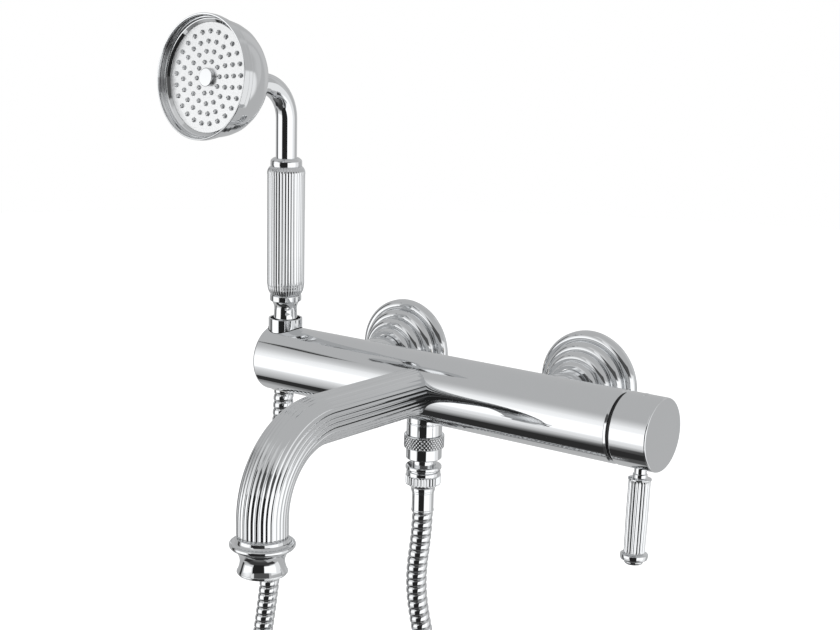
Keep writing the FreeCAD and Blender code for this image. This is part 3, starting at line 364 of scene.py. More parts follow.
def new_mesh(name, shape, own_normals):
    """A smooth mesh of the shape, which keeps the shape's own normals or takes the mesh's."""
    mesh = bpy.data.meshes.new(name)
    positions, normals, faces = facing(shape)[:3]
    mesh.from_pydata([tuple(p * MM) for p in positions], [], faces)
    mesh.shade_smooth()
    if own_normals:
        mesh.normals_split_custom_set_from_vertices([tuple(n) for n in normals])
    return mesh


def dress(thing, body, nodes, slot, finish=None):
    """Give a piece its finish, the body that it rides on and the CAD nodes that it stands for."""
    if not thing.data.materials:
        thing.data.materials.append(finish_of(finish or slot))
    if body:
        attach(thing, body)
    if nodes:
        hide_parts(*nodes)
    return thing


def piece(name, shape, body, nodes, slot="chrome", finish=None, own_normals=True):
    """A finished piece from a shape."""
    return dress(linked(name, new_mesh(name, shape, own_normals)), body, nodes, slot, finish)


# Node trees
class Net:
    """Short way to write the nodes and links of a node tree."""

    def __init__(self, tree):
        self.tree = tree

    def add(self, kind, inputs=None, **settings):
        """A new node. Its inputs are values, or the sockets that feed them."""
        node = self.tree.nodes.new(kind)
        for key, value in settings.items():
            setattr(node, key, value)
        for key, value in (inputs or {}).items():
            self.link(value, node.inputs[key])
        return node

    def link(self, value, socket):
        """Feed a socket from another one, or set it to a value."""
        if isinstance(value, bpy.types.NodeSocket):
            self.tree.links.new(value, socket)
        else:
            socket.default_value = value

    def math(self, operation, *values):
        """Result of a Math node."""
        node = self.add("ShaderNodeMath", dict(enumerate(values)), operation=operation)
        return node.outputs[0]

    def product(self, first, *others):
        for other in others:
            first = self.math("MULTIPLY", first, other)
        return first

    def mixed(self, factor, one, two):
        """Mix of two colours."""
        node = self.add("ShaderNodeMix", {"Factor": factor, "A": one, "B": two}, data_type="RGBA")
        return node.outputs["Result"]


def add_sockets(group, in_out, rows):
    """Named sockets of a node group: rows of label, kind and, where it has one, default."""
    for label, kind, *default in rows:
        socket = group.interface.new_socket(label, in_out=in_out, socket_type="NodeSocket" + kind)
        if default:
            socket.default_value = default[0]


class Tree(Net):
    """A Geometry Nodes tree that starts from a mesh and ends in a material."""

    def __init__(self, name, inputs):
        super().__init__(bpy.data.node_groups.new(name, "GeometryNodeTree"))
        add_sockets(self.tree, "OUTPUT", [("Geometry", "Geometry")])
        add_sockets(self.tree, "INPUT",
                    [("Geometry", "Geometry"), *inputs, ("Material", "Material")])
        self.start = self.add("NodeGroupInput").outputs

    def attribute(self, name, kind="FLOAT"):
        node = self.add("GeometryNodeInputNamedAttribute", {"Name": name}, data_type=kind)
        return node.outputs["Attribute"]

    def sunk(self, cut, dark=None):
        """The start mesh, sunk by cut times Depth against its stored outward direction; with
        `dark`, the deep part of the cut is also stored as painted shade.
        """
        offset = self.add("ShaderNodeVectorMath", {
            0: self.attribute("outward", "FLOAT_VECTOR"),
            "Scale": self.product(cut, self.start["Depth"], -1.0)}, operation="SCALE")
        geometry = self.add("GeometryNodeSetPosition", {
            "Geometry": self.start["Geometry"], "Offset": offset.outputs[0]}).outputs["Geometry"]
        # Painted shade: the deeper the cut, the darker the groove is painted, kept in the 'hollow'
        # attribute
        if dark:
            groove = self.product(self.math("SUBTRACT", cut, dark[0]), dark[1])
            value = self.math("MINIMUM", self.math("MAXIMUM", groove, 0.0), 1.0)
            geometry = self.add("GeometryNodeStoreNamedAttribute", {
                "Name": "hollow", "Geometry": geometry, "Value": value},
                data_type="FLOAT", domain="POINT").outputs["Geometry"]
        return self.finish(geometry)

    def finish(self, geometry):
        real = self.add("GeometryNodeRealizeInstances", {0: geometry})
        paint = self.add("GeometryNodeSetMaterial", {
            "Geometry": real.outputs[0], "Material": self.start["Material"]})
        self.add("NodeGroupOutput", {0: paint.outputs[0]})
        return self.tree


def flute_tree(name):
    """Hollow flutes that run along a piece and meet in ridges."""
    tree = Tree(name, [("Flutes", "Float", 40.0), ("Depth", "Float", 0.0005)])
    turns = tree.product(tree.attribute("around"), tree.start["Flutes"], 0.5)
    hollow = tree.math("ABSOLUTE", tree.math("SINE", turns))
    return tree.sunk(tree.product(hollow, tree.attribute("mask")))


def knurl_tree(name):
    """Diamond knurl: two families of slanting grooves, painted dark as shade where they cut deep.
    """
    tree = Tree(name, [("Diamonds", "Float", 36.0), ("Height", "Float", KNURL_HEIGHT),
                       ("Depth", "Float", KNURL_DEPTH)])
    turn = tree.math("DIVIDE", tree.attribute("around"), FULL_TURN)
    across = tree.product(turn, tree.start["Diamonds"])
    rise = tree.math("DIVIDE", tree.attribute("along"), tree.start["Height"])
    grooves = []
    for way in ("ADD", "SUBTRACT"):
        part = tree.math("FRACT", tree.math("ADD", tree.math(way, across, rise), KNURL_SHIFT))
        grooves.append(tree.math("ABSOLUTE", tree.math("SUBTRACT", part, 0.5)))
    low = tree.math("MAXIMUM", *grooves)
    return tree.sunk(tree.product(low, 2.0, tree.attribute("mask")), KNURL_PAINTED_SHADE)


def rib_tree(name):
    """Spiral metal strip: one broad ridge and a narrow groove in each turn of the hose, with
    painted shade in the groove.
    """
    tree = Tree(name, [("Pitch", "Float", 0.005), ("Depth", "Float", RIB_DEPTH)])
    along = tree.math("DIVIDE", tree.attribute("along"), tree.start["Pitch"])
    turn = tree.math("DIVIDE", tree.attribute("around"), FULL_TURN)
    part = tree.math("FRACT", tree.math("ADD", tree.math("SUBTRACT", along, turn), RIB_SHIFT))
    middle = tree.math("ABSOLUTE", tree.product(tree.math("SUBTRACT", part, 0.5), 2.0))
    return tree.sunk(tree.math("POWER", middle, RIB_SHARPNESS), RIB_PAINTED_SHADE)


def jet_tree(name):
    """A nozzle on every point of a mesh."""
    tree = Tree(name, [("Nozzle", "Object")])
    nozzle = tree.add("GeometryNodeObjectInfo", {"Object": tree.start["Nozzle"]})
    points = tree.add("GeometryNodeMeshToPoints", {"Mesh": tree.start["Geometry"]})
    copies = tree.add("GeometryNodeInstanceOnPoints", {
        "Points": points.outputs[0], "Instance": nozzle.outputs["Geometry"]})
    return tree.finish(copies.outputs[0])


TREES = {"Hollow flutes": flute_tree, "Diamond knurl": knurl_tree, "Spiral ribs": rib_tree,
         "Jets on points": jet_tree}


def grown(name, mesh, tree, values, finish):
    """Run a node tree on a mesh and return the result as a plain object."""
    group = bpy.data.node_groups.get(tree) or TREES[tree](tree)
    start = linked(name + "_start", mesh)
    modifier = start.modifiers.new(tree, "NODES")
    modifier.node_group = group
    values = {**values, "Material": finish_of(finish)}
    for item in group.interface.items_tree:
        if item.item_type == "SOCKET" and item.in_out == "INPUT" and item.name in values:
            modifier[item.identifier] = values[item.name]
    result = made_plain(start)
    result.name = name
    return linked(name, result)


def store(mesh, name, values, kind="FLOAT"):
    """Keep a value for each point, for a node tree or a finish to read."""
    layer = mesh.attributes.new(name, kind, "POINT")
    values = np.asarray(values, dtype=np.float32).ravel()
    layer.data.foreach_set("value" if kind == "FLOAT" else "vector", values)


def shaped(name, shape, mask, tree, values, body, nodes, slot="chrome", finish=None, along=None):
    """A piece whose relief a node tree makes from its angles, mask and outward direction."""
    mesh = new_mesh(name, shape, own_normals=False)
    store(mesh, "around", shape[3])
    store(mesh, "mask", mask)
    store(mesh, "outward", shape[1], "FLOAT_VECTOR")
    if along is not None:
        store(mesh, "along", along)
    return dress(grown(name, mesh, tree, values, finish or slot), body, nodes, slot)


def fluted(name, shape, mask, count, depth, body, nodes):
    """A piece with hollow flutes."""
    values = {"Flutes": float(count), "Depth": depth}
    return shaped(name, shape, mask, "Hollow flutes", values, body, nodes)


# Finishes: the noise's range that changes the gloss, the relief's height in metres, and the colour
# of the painted shade in grooves, holes and creases
NOISE_LOW, NOISE_HIGH, RELIEF_HEIGHT = 0.3, 0.7, 0.0002
PAINTED_SHADE_TONE = (0.012, 0.012, 0.013, 1)


def shader_group(name, inputs, outputs):
    """A new shader node group: its net, what it is given and what it puts out."""
    net = Net(bpy.data.node_groups.new(name, "ShaderNodeTree"))
    add_sockets(net.tree, "INPUT", inputs)
    add_sockets(net.tree, "OUTPUT", outputs)
    return net, net.add("NodeGroupInput").outputs, net.add("NodeGroupOutput").inputs


def surface_group():
    """Fine unevenness that every finish shares: cloudy colour, changing gloss, faint relief."""
    name = "Fine unevenness"
    if name in bpy.data.node_groups:
        return bpy.data.node_groups[name]
    net, start, end = shader_group(name, [
        ("Colour", "Color", (0.8, 0.8, 0.8, 1)), ("Second colour", "Color", (0.7, 0.7, 0.7, 1)),
        ("Scale", "Float", 60.0), ("Gloss low", "Float", 0.02), ("Gloss high", "Float", 0.06),
        ("Relief scale", "Float", 900.0), ("Relief", "Float", 0.02)],
        [("Colour", "Color"), ("Roughness", "Float"), ("Normal", "Vector")])
    place = net.add("ShaderNodeTexCoord").outputs["Object"]
    broad, fine = (net.add("ShaderNodeTexNoise", {
        "Vector": place, "Scale": start[scale], "Detail": detail}).outputs["Fac"]
        for scale, detail in (("Scale", 3.0), ("Relief scale", 4.0)))
    gloss = net.add("ShaderNodeMapRange", {
        "Value": fine, "From Min": NOISE_LOW, "From Max": NOISE_HIGH,
        "To Min": start["Gloss low"], "To Max": start["Gloss high"]})
    bump = net.add("ShaderNodeBump", {
        "Strength": start["Relief"], "Distance": RELIEF_HEIGHT, "Height": fine})
    net.link(net.mixed(broad, start["Colour"], start["Second colour"]), end["Colour"])
    net.link(gloss.outputs["Result"], end["Roughness"])
    net.link(bump.outputs["Normal"], end["Normal"])
    return net.tree


FINISH_TABLE = {
    # colour, second colour, scale, gloss low and high, relief scale, relief, metallic and, where
    # the finish has one, the attribute that marks where it is painted dark as shade
    "chrome": ((0.80, 0.81, 0.82), (0.78, 0.79, 0.80), 35.0, 0.015, 0.05, 700.0, 0.004, 1.0),
    "satin_chrome": ((0.95, 0.955, 0.96), (0.90, 0.905, 0.91), 60.0, 0.30, 0.42, 2600.0, 0.12, 1.0),
    # Chrome painted dark as shade in the knurl's grooves and in the jets' holes and feet
    "chrome_painted_shade": ((0.80, 0.81, 0.82), (0.78, 0.79, 0.80), 35.0, 0.02, 0.06, 700.0, 0.004, 1.0,
                       "hollow"),
    "bare_brass": ((0.72, 0.53, 0.26), (0.60, 0.43, 0.20), 90.0, 0.22, 0.38, 2600.0, 0.25, 1.0),
    "spring_steel": ((0.58, 0.59, 0.60), (0.44, 0.45, 0.46), 150.0, 0.2, 0.34, 3000.0, 0.2, 1.0),
    "seal_rubber": ((0.025, 0.025, 0.026), (0.045, 0.045, 0.046), 180.0, 0.55, 0.8, 3500.0, 0.4,
                    0.0),
    "inner_plastic": ((0.72, 0.72, 0.70), (0.66, 0.66, 0.64), 120.0, 0.35, 0.5, 2600.0, 0.18, 0.0),
    "ceramic": ((0.88, 0.87, 0.83), (0.82, 0.81, 0.78), 200.0, 0.12, 0.22, 3200.0, 0.08, 0.0),
    "jet_silicone": ((0.30, 0.31, 0.32), (0.24, 0.25, 0.26), 220.0, 0.4, 0.6, 3500.0, 0.2, 0.0),
    # Near black: painted shade for the ring deep in the gap beside the lever cap
    "black_nut": ((0.02, 0.02, 0.021), (0.035, 0.035, 0.036), 160.0, 0.35, 0.5, 2200.0, 0.12, 0.6),
    # Hose strip painted dark as shade in its grooves
    "hose_metal": ((0.80, 0.81, 0.82), (0.74, 0.75, 0.76), 120.0, 0.03, 0.08, 900.0, 0.02, 1.0,
                   "hollow"),
    "hose_tie": ((0.50, 0.51, 0.52), (0.36, 0.37, 0.38), 400.0, 0.6, 0.8, 1800.0, 0.7, 0.0),
}
made_finishes = {}


def make_finish(name, colour, second, scale, gloss_low, gloss_high, relief_scale, relief,
                metallic, painted_shade_mark=None):
    """A material built on the shared unevenness, with painted shade where its attribute says."""
    material = bpy.data.materials.new(name)
    material.use_nodes = True
    net = Net(material.node_tree)
    surface = net.add("ShaderNodeGroup", {
        "Colour": (*colour, 1), "Second colour": (*second, 1), "Scale": scale,
        "Gloss low": gloss_low, "Gloss high": gloss_high, "Relief scale": relief_scale,
        "Relief": relief}, node_tree=surface_group()).outputs
    base = surface["Colour"]
    # Painted shade: where the attribute is high, the colour turns to the near-black painted shade
    # tone
    if painted_shade_mark:
        mark = net.add("ShaderNodeAttribute", attribute_name=painted_shade_mark)
        base = net.mixed(mark.outputs["Fac"], base, PAINTED_SHADE_TONE)
    shader = net.tree.nodes["Principled BSDF"].inputs
    net.link(base, shader["Base Color"])
    net.link(surface["Roughness"], shader["Roughness"])
    net.link(surface["Normal"], shader["Normal"])
    net.link(metallic, shader["Metallic"])
    return material


def finish_of(name):
    """The finish of this name, made when it is first asked for."""
    if name not in made_finishes:
        tones = bpy.context.scene.tap_tones
        colour, *others = FINISH_TABLE[name]
        chosen = {"chrome": tones.chrome, "hose_metal": tones.hose}
        made_finishes[name] = make_finish(name, tuple(chosen.get(name, colour)), *others)
    return made_finishes[name]


# Property groups
def length_property(name, description, default):
    return bpy.props.FloatProperty(name=name, description=description, default=default,
                                   unit="LENGTH")


def count_property(name, description, default):
    return bpy.props.IntProperty(name=name, description=description, default=default)


def colour_property(name, description, default):
    return bpy.props.FloatVectorProperty(name=name, description=description, default=default,
                                         size=3, subtype="COLOR")


class TapSizes(bpy.types.PropertyGroup):
    body_radius: length_property("Body radius", "Radius of the horizontal body", 0.0227)
    flange_radius: length_property("Flange radius", "Radius of the wall flanges", 0.0353)
    spout_radius: length_property("Spout radius", "Radius over the spout's ridges", 0.0153)
    spout_bend: length_property("Spout bend", "Radius of the spout's bend", 0.0492)
    grip_radius: length_property("Grip radius", "Radius of the hand shower's grip", 0.0127)
    rose_radius: length_property("Rose radius", "Radius of the rose's shell", 0.0393)
    hose_radius: length_property("Hose radius", "Radius over the hose's ribs", 0.007)


class TapReliefs(bpy.types.PropertyGroup):
    spout_flutes: count_property("Spout flutes", "Flutes round the spout", 38)
    grip_flutes: count_property("Grip flutes", "Flutes round the hand shower's grip", 44)
    lever_flutes: count_property("Lever flutes", "Flutes round the lever", 24)
    nut_flutes: count_property("Nut flutes", "Flutes round the hose nut", 36)
    flute_depth: length_property("Flute depth", "Depth of the spout's flutes", 0.00036)
    knurl_diamonds: count_property("Knurl diamonds", "Diamonds round the sleeve", 36)
    rib_pitch: length_property("Rib pitch", "Length of one turn of the hose's strip", 0.0052)


class TapTones(bpy.types.PropertyGroup):
    chrome: colour_property("Chrome", "Colour of the chrome plate", (0.80, 0.81, 0.82))
    hose: colour_property("Hose", "Colour of the hose's metal strip", (0.80, 0.81, 0.82))
    floor: colour_property("Floor", "Colour of the floor", (0.9, 0.9, 0.9))


# Pieces
class TAP_OT_inner_pieces(bpy.types.Operator):
    """Give every piece that stays as the frame made it its finish"""
    bl_idname = "tap.inner_pieces"
    bl_label = "Inner pieces"

    def execute(self, context):
        slots = {part["node"]: part["material_slot"] for part in frame["record"]["subparts"]}
        for name, thing in frame["nodes"].items():
            for holder in thing.material_slots:
                holder.material = finish_of(slots[name])
        return {"FINISHED"}


class TAP_OT_wall_unions(bpy.types.Operator):
    """Two stepped wall flanges and the smooth sleeves behind the body"""
    bl_idname = "tap.wall_unions"
    bl_label = "Wall unions"

    def execute(self, context):
        rim = context.scene.tap_sizes.flange_radius / MM
        flange = [(rim, 0.0), (rim, 2.4), (28.4, 6.0, 2.4), (22.6, 13.0, 3.25), (18.0, 20.2, 3.3),
                  (16.2, 25.0, 0.8), (14.0, 25.0), (14.0, 21.8), (16.4, 18.6), (21.0, 11.4),
                  (26.8, 4.4), (rim - 3.2, 0.0)]
        sleeve = [(UNION_BORE, 12.0), (UNION_RADIUS, 12.0), (UNION_RADIUS, 51.9),
                  (UNION_BORE, 51.9)]
        for side, x in (("left", -INLET_X), ("right", INLET_X)):
            piece("flange_" + side, lathe(flange, (x, 0, 0), OUT, 128), "tap",
                  ["wall_flange_" + side])
            piece("sleeve_" + side, lathe(sleeve, (x, 0, 0), OUT, edge=0.35), "tap",
                  ["union_sleeve_" + side])
        return {"FINISHED"}


class TAP_OT_body(bpy.types.Operator):
    """The body's bar with its two eased bosses, and a ring in the gap beside the lever cap, painted
    near black as shade in place of the nut
    """
    bl_idname = "tap.body"
    bl_label = "Body"

    def execute(self, context):
        radius = context.scene.tap_sizes.body_radius / MM
        base = (0, AXIS_Y, 0)
        bar = [(0.0, BAR_LEFT), (radius - 2.2, BAR_LEFT), (radius, BAR_LEFT + 2.2, 0.64),
               (radius, BAR_RIGHT - 1.1), (radius - 1.1, BAR_RIGHT), (radius - 3.2, BAR_RIGHT),
               (radius - 3.2, BAR_RIGHT - 5.0), (0.0, BAR_RIGHT - 5.0)]
        shapes = [lathe(bar, base, RIGHT, 160, 0.15)]
        boss = [(0.0, 5.0), (0.0, BOSS_END), (UNION_RADIUS, BOSS_END), (UNION_RADIUS, 5.0)]
        for x in (-INLET_X, INLET_X):
            shapes.append(lathe(boss, (x, AXIS_Y, 0), -OUT, edge=0.35))
            shapes.append(saddle_fillet(radius, UNION_RADIUS, 2.5, x, -OUT))
        piece("body_bar", joined(shapes), "tap", ["body"])
        # The nut in the gap is painted near black as the shade deep in the gap
        nut = [(11.0, 137.0), (radius - 3.3, 137.0), (radius - 3.3, 144.05),
               (radius - 1.8, 144.05), (radius - 1.8, CAP_LEFT - 0.3), (11.0, CAP_LEFT - 0.3)]
        piece("gap_ring", lathe(nut, base, RIGHT, 128, 0.15), "tap", ["bonnet_nut"], "black_nut")
        return {"FINISHED"}


class TAP_OT_lever(bpy.types.Operator):
    """Lever cap with its index button, and the lever: stem, fluted grip and end bead"""
    bl_idname = "tap.lever"
    bl_label = "Lever"

    def execute(self, context):
        radius = context.scene.tap_sizes.body_radius / MM
        count = context.scene.tap_reliefs.lever_flutes
        base = (LEVER_X, AXIS_Y, 0)
        cap = [(0.0, CAP_RIGHT), (0.0, CAP_RIGHT - 4), (radius - 2.5, CAP_RIGHT - 4),
               (radius - 2.5, CAP_LEFT), (radius - 0.7, CAP_LEFT), (radius, CAP_LEFT + 0.7, 0.2),
               (radius, CAP_RIGHT - 1.0), (radius - 1.0, CAP_RIGHT, 0.29)]
        piece("cap", leaned(lathe(cap, (0, AXIS_Y, 0), RIGHT, 160, 0.12)), "lever", ["lever_cap"])
        index = [(0.0, radius - 1.5), (3.1, radius - 1.5), (3.1, radius - 0.1),
                 (0.0, radius + 0.6, 0.18)]
        piece("index", leaned(lathe(index, base, UP, 64, 0.1)), "lever", ["index_button"])
        stem = [(0.0, radius - 3), (3.8, radius - 3), (3.8, 25.8), (4.2, 26.0), (4.5, 26.4, 0.1),
                (4.5, 28.0), (4.9, 28.4, -0.1), (6.9, 28.7), (7.2, 29.0, 0.1), (7.2, 29.4),
                (6.9, 29.7, 0.1), (2.0, 29.9), (2.0, 78.0), (0.0, 78.0)]
        piece("stem", leaned(lathe(stem, base, DOWN, edge=0.15)), "lever", ["lever_stem"])
        grip = [(2.1, 29.8), (6.6, 29.8), (6.7, 29.9), (6.7, 53.0), (6.4, 74.9), (6.3, 75.0),
                (2.1, 75.0)]
        shape = leaned(lathe(grip, base, DOWN, count * FLUTE_STEPS, longest=2.0))
        mask = between(shape[4], 29.7, 75.2, 0.5, 0.5)
        mask *= np.hypot(shape[1][:, 0], shape[1][:, 1]) > 0.5
        fluted("lever_flutes", shape, mask, count, LEVER_FLUTE_DEPTH, "lever", ["lever_grip"])
        bead = [(2.1, 74.9), (6.5, 74.9), (7.0, 75.2), (8.2, 75.7, 0.1), (8.5, 76.3, 0.12),
                (8.3, 78.4, 0.1), (7.9, 79.2, 0.1), (6.3, 80.0), (5.9, 80.3, -0.05),
                (5.3, 81.9, 0.15), (0.0, 82.8, 0.3), (0.0, 78.0), (2.1, 78.0)]
        piece("lever_bead", leaned(lathe(bead, base, DOWN)), "lever", ["lever_end"])
        return {"FINISHED"}


class TAP_OT_spout(bpy.types.Operator):
    """Fluted spout with its bell shaped outlet"""
    bl_idname = "tap.spout"
    bl_label = "Spout"

    def execute(self, context):
        sizes, reliefs = context.scene.tap_sizes, context.scene.tap_reliefs
        tilt = math.radians(SPOUT_TILT)
        along = np.array((0.0, -math.cos(tilt), math.sin(tilt)))
        corner = np.array((0.0, SPOUT_Y, (AXIS_Y - SPOUT_Y) * math.tan(tilt)))
        first = np.array((0.0, AXIS_Y, 0.0)) + along * SPOUT_START
        path = bent_path(first, corner, np.array((0.0, SPOUT_Y, SPOUT_END)),
                         sizes.spout_bend / MM, (24, 72, 4))
        count = reliefs.spout_flutes
        shape = tube(*path, np.array(RIGHT), sizes.spout_radius / MM, count * FLUTE_STEPS)
        fluted("spout", shape, np.ones(len(shape[0])), count, reliefs.flute_depth, "tap",
               ["spout_tube"])
        top, waist, bore, bottom = SPOUT_END, BELL_WAIST, BELL_BORE, BELL_BOTTOM
        bell = [(14.9, top + 0.3), (15.35, top + 0.2), (15.6, top - 0.9, 0.03),
                (18.6, top - 2.8, 0.9), (19.4, top - 4.0, -0.25), (19.2, top - 5.2, -0.12),
                (18.1, top - 6.1, -0.15), (17.2, top - 6.4, 0.1), (waist, -71.5, 1.1),
                (waist + 1.6, -76.9, 0.25), (waist + 1.75, -77.3, -0.08),
                (waist + 1.7, -77.9, -0.08), (waist + 1.2, -78.1, 0.05),
                (waist + 0.9, -78.8, -0.15), (bore + 0.6, bottom), (bore, bottom + 0.6),
                (bore, bottom + 14.5), (12.0, top - 0.1), (12.0, top + 0.3)]
        piece("outlet_bell", lathe(bell, (0, SPOUT_Y, 0), UP, 128), "tap", ["spout_outlet"])
        return {"FINISHED"}


class TAP_OT_shower_outlet(bpy.types.Operator):
    """Shower outlet under the body: stub, knurled diverter sleeve, nipple, hose nut and ferrule"""
    bl_idname = "tap.shower_outlet"
    bl_label = "Shower outlet"

    def execute(self, context):
        reliefs = context.scene.tap_reliefs
        base = (SHOWER_X, AXIS_Y, 0)
        stub = [(0.0, -12.0), (11.75, -12.0), (11.75, -22.8), (11.3, -23.0), (11.3, -23.7),
                (11.75, -23.9), (11.75, -31.6), (7.75, -31.6), (7.75, -58.0), (0.0, -58.0)]
        piece("stub", lathe(stub, base, UP), "tap", ["outlet_stub"])
        sleeve = [(7.81, -31.7), (12.9, -31.7), (13.4, -32.2), (13.4, -39.9), (12.9, -40.4),
                  (11.8, -40.4), (11.8, -47.5), (11.3, -48.0), (7.81, -48.0)]
        count = reliefs.knurl_diamonds
        shape = lathe(sleeve, base, UP, count * DIAMOND_STEPS, longest=0.24)
        mask = between(shape[4], -40.1, -32.0, 0.3, 0.3) * outside(shape, SHOWER_X, 12.75)
        # The knurl's grooves are painted dark as shade
        shaped("knurled_sleeve", shape, mask, "Diamond knurl",
               {"Diamonds": float(count), "Height": KNURL_HEIGHT, "Depth": KNURL_DEPTH},
               "diverter", ["diverter_sleeve"], finish="chrome_painted_shade", along=shape[4] * MM)
        nipple = [(7.85, -52.6), (11.2, -52.6), (11.9, -53.2, -0.1), (11.9, -54.8),
                  (11.3, -55.4, 0.1), (THREAD_RADIUS, -55.4), (THREAD_RADIUS, -64.6),
                  (7.0, -64.6), (7.0, -58.0), (7.85, -58.0)]
        piece("nipple", lathe(nipple, base, UP), "tap", ["outlet_nipple"])
        nut = [(10.58, -56.5), (10.9, -56.5), (11.3, -56.9), (11.3, -59.0), (11.8, -59.5),
               (11.8, -64.9), (11.4, -65.5), (8.5, -67.7, 0.3), (8.0, -68.0, 0.1), (7.95, -70.1),
               (7.65, -70.3), (7.65, -66.3), (9.55, -66.3), (9.55, -64.6), (10.58, -64.6)]
        count = reliefs.nut_flutes
        shape = lathe(nut, base, UP, count * FLUTE_STEPS, longest=0.6)
        mask = between(shape[4], -65.3, -59.3, 0.4, 0.3) * outside(shape, SHOWER_X, 11.2)
        fluted("nut", shape, mask, count, NUT_FLUTE_DEPTH, "tap", ["hose_nut"])
        ferrule = [(4.5, -66.2), (7.55, -66.2), (7.55, -71.4), (7.25, -71.8, 0.1), (7.25, -83.0),
                   (7.5, -83.4), (7.5, -84.2), (7.2, FERRULE_BOTTOM), (4.5, FERRULE_BOTTOM)]
        piece("lower_ferrule", lathe(ferrule, base, UP, edge=0.15), "tap", ["hose_ferrule"])
        return {"FINISHED"}


class TAP_OT_holder(bpy.types.Operator):
    """The open cup on the body that the hand shower stands in, and the hose guide below it"""
    bl_idname = "tap.holder"
    bl_label = "Holder"

    def execute(self, context):
        radius = context.scene.tap_sizes.body_radius / MM
        cup = [(8.2, 12.0), (11.6, 12.0), (11.6, 28.5), (11.3, 28.8, 0.12), (10.6, 28.8, 0.05),
               (10.3, 28.5, 0.12), (10.3, 24.5), (9.5, 24.5), (8.2, 20.5)]
        shapes = [lathe(cup, (HOLDER_X, AXIS_Y, 0), UP, edge=0.12),
                  saddle_fillet(radius, 11.6, 0.4, HOLDER_X, UP)]
        piece("cup", joined(shapes), "tap", ["holder_cup"])
        # The lip follows the round underside: radius, height below it and side of each point
        lip = [(8.2, 1.2, -1), (8.2, -0.25, -1), (8.7, -0.45, 0), (9.3, -0.25, 0), (9.4, 1.2, 1)]
        positions, normals, segments = [], [], 72
        for angle in np.arange(segments) * FULL_TURN / segments:
            c, s = math.cos(angle), math.sin(angle)
            for across, rise, side in lip:
                depth = math.sqrt((radius + 0.02) ** 2 - (across * s) ** 2)
                positions.append((HOLDER_X + across * c, AXIS_Y + across * s, rise - depth))
                normals.append((side * c, side * s, 0.0) if side else (0.0, 0.0, -1.0))
        faces = [face[::-1] for face in band_faces(segments, len(lip), closed=True)]
        piece("guide_lip", (np.array(positions), np.array(normals), faces), "tap",
              ["hose_guide"], "inner_plastic", own_normals=False)
        return {"FINISHED"}


def rose_direction():
    """The level way of the hand shower's arm and the rose's own axis."""
    tilt, turn = math.radians(ROSE_TILT), math.radians(ROSE_TURN)
    level = Vector((math.sin(turn), -math.cos(turn), 0))
    return level, level * math.cos(tilt) + UP * math.sin(tilt)


class TAP_OT_hand_shower(bpy.types.Operator):
    """Tail, fluted grip, collar and bent tube of the hand shower"""
    bl_idname = "tap.hand_shower"
    bl_label = "Hand shower"

    def execute(self, context):
        base = (HOLDER_X, AXIS_Y, 0)
        tail = [(7.5, 20.2), (8.1, 20.2), (9.2, 24.5), (8.3, 28.2, -0.3), (7.9, 34.0, -0.1),
                (9.8, 40.8, -0.8), (10.3, 40.9), (10.8, 41.4, 0.12), (10.8, 44.5),
                (10.2, 45.1, 0.12), (7.2, 45.1), (7.2, 40.3), (4.0, 40.3), (4.0, 26.7),
                (7.5, 26.7)]
        piece("tail", lathe(tail, base, UP, edge=0.15), "handset", ["handle_tail"])
        count = context.scene.tap_reliefs.grip_flutes
        radius = context.scene.tap_sizes.grip_radius / MM
        grip = [(7.2, 45.1), (9.9, 45.1), (10.4, 45.5), (radius - 0.3, 51.2, 0.5),
                (radius, 53.0, 0.02), (radius, 127.4), (10.7, 133.2, 0.9), (7.2, 133.2)]
        shape = lathe(grip, base, UP, count * GRIP_FLUTE_STEPS, longest=2.5)
        mask = between(shape[4], 45.3, 133.3, 2.0, 1.5) * outside(shape, HOLDER_X, 9.8)
        fluted("grip", shape, mask, count, GRIP_FLUTE_DEPTH, "handset", ["handle_grip"])
        collar = [(7.2, 133.1), (10.2, 133.1), (10.6, 133.6, 0.1), (10.6, 135.8, 0.1),
                  (9.4, 138.2, 0.5), (8.6, 138.8, 0.1), (7.2, 138.8)]
        piece("collar", lathe(collar, base, UP), "handset", ["handle_collar"])
        level, toward = (np.array(way) for way in rose_direction())
        corner = np.array((HOLDER_X, AXIS_Y, ELBOW_HEIGHT))
        last = corner + toward * (ROSE_REACH - ROSE_DEPTH + HANDLE_TUBE_IN_ROSE)
        foot = np.array((HOLDER_X, AXIS_Y, HANDLE_TUBE_FOOT))
        path = bent_path(foot, corner, last, ELBOW_RADIUS, (8, 48, 3))
        bend = tube(*path, np.cross(UP, level), HANDLE_TUBE_RADIUS, 96)
        piece("bent_tube", bend, "handset", ["handle_tube"])
        return {"FINISHED"}


def spray_jets(front, toward, across):
    """Nozzles in rings on the spray plate, each with painted shade in its hole and round its foot.
    """
    nozzle = [(0.0, 0.9), (0.38, 0.95), (0.42, 1.45), (0.7, 1.42), (1.0, 1.15, 0.06),
              (1.35, 0.25), (1.55, 0.0), (0.0, -0.2)]
    shape = lathe(nozzle, (0, 0, 0), toward, 16, 0.04)
    mesh = new_mesh("nozzle", shape, own_normals=False)
    reach = np.linalg.norm(np.cross(shape[0], toward), axis=1)
    # Painted shade: the hole at the tip and the foot on the plate are marked to be painted dark
    store(mesh, "hollow", (reach < NOZZLE_HOLE) | (shape[4] < NOZZLE_FOOT))
    mould = linked("nozzle", mesh)
    side = across.cross(toward)
    places = []
    for row, count in enumerate(JET_COUNTS):
        reach = JET_FIRST + row * JET_STEP
        for index in range(count):
            angle = math.radians(JET_START) + FULL_TURN * index / count
            sideways = across * (reach * math.cos(angle)) + side * (reach * math.sin(angle))
            places.append(tuple((front - toward * PLATE_DEPTH + sideways) * MM))
    dots = bpy.data.meshes.new("jet_places")
    dots.from_pydata(places, [], [])
    jets = grown("jets", dots, "Jets on points", {"Nozzle": mould}, "chrome_painted_shade")
    bpy.data.objects.remove(mould)
    return jets


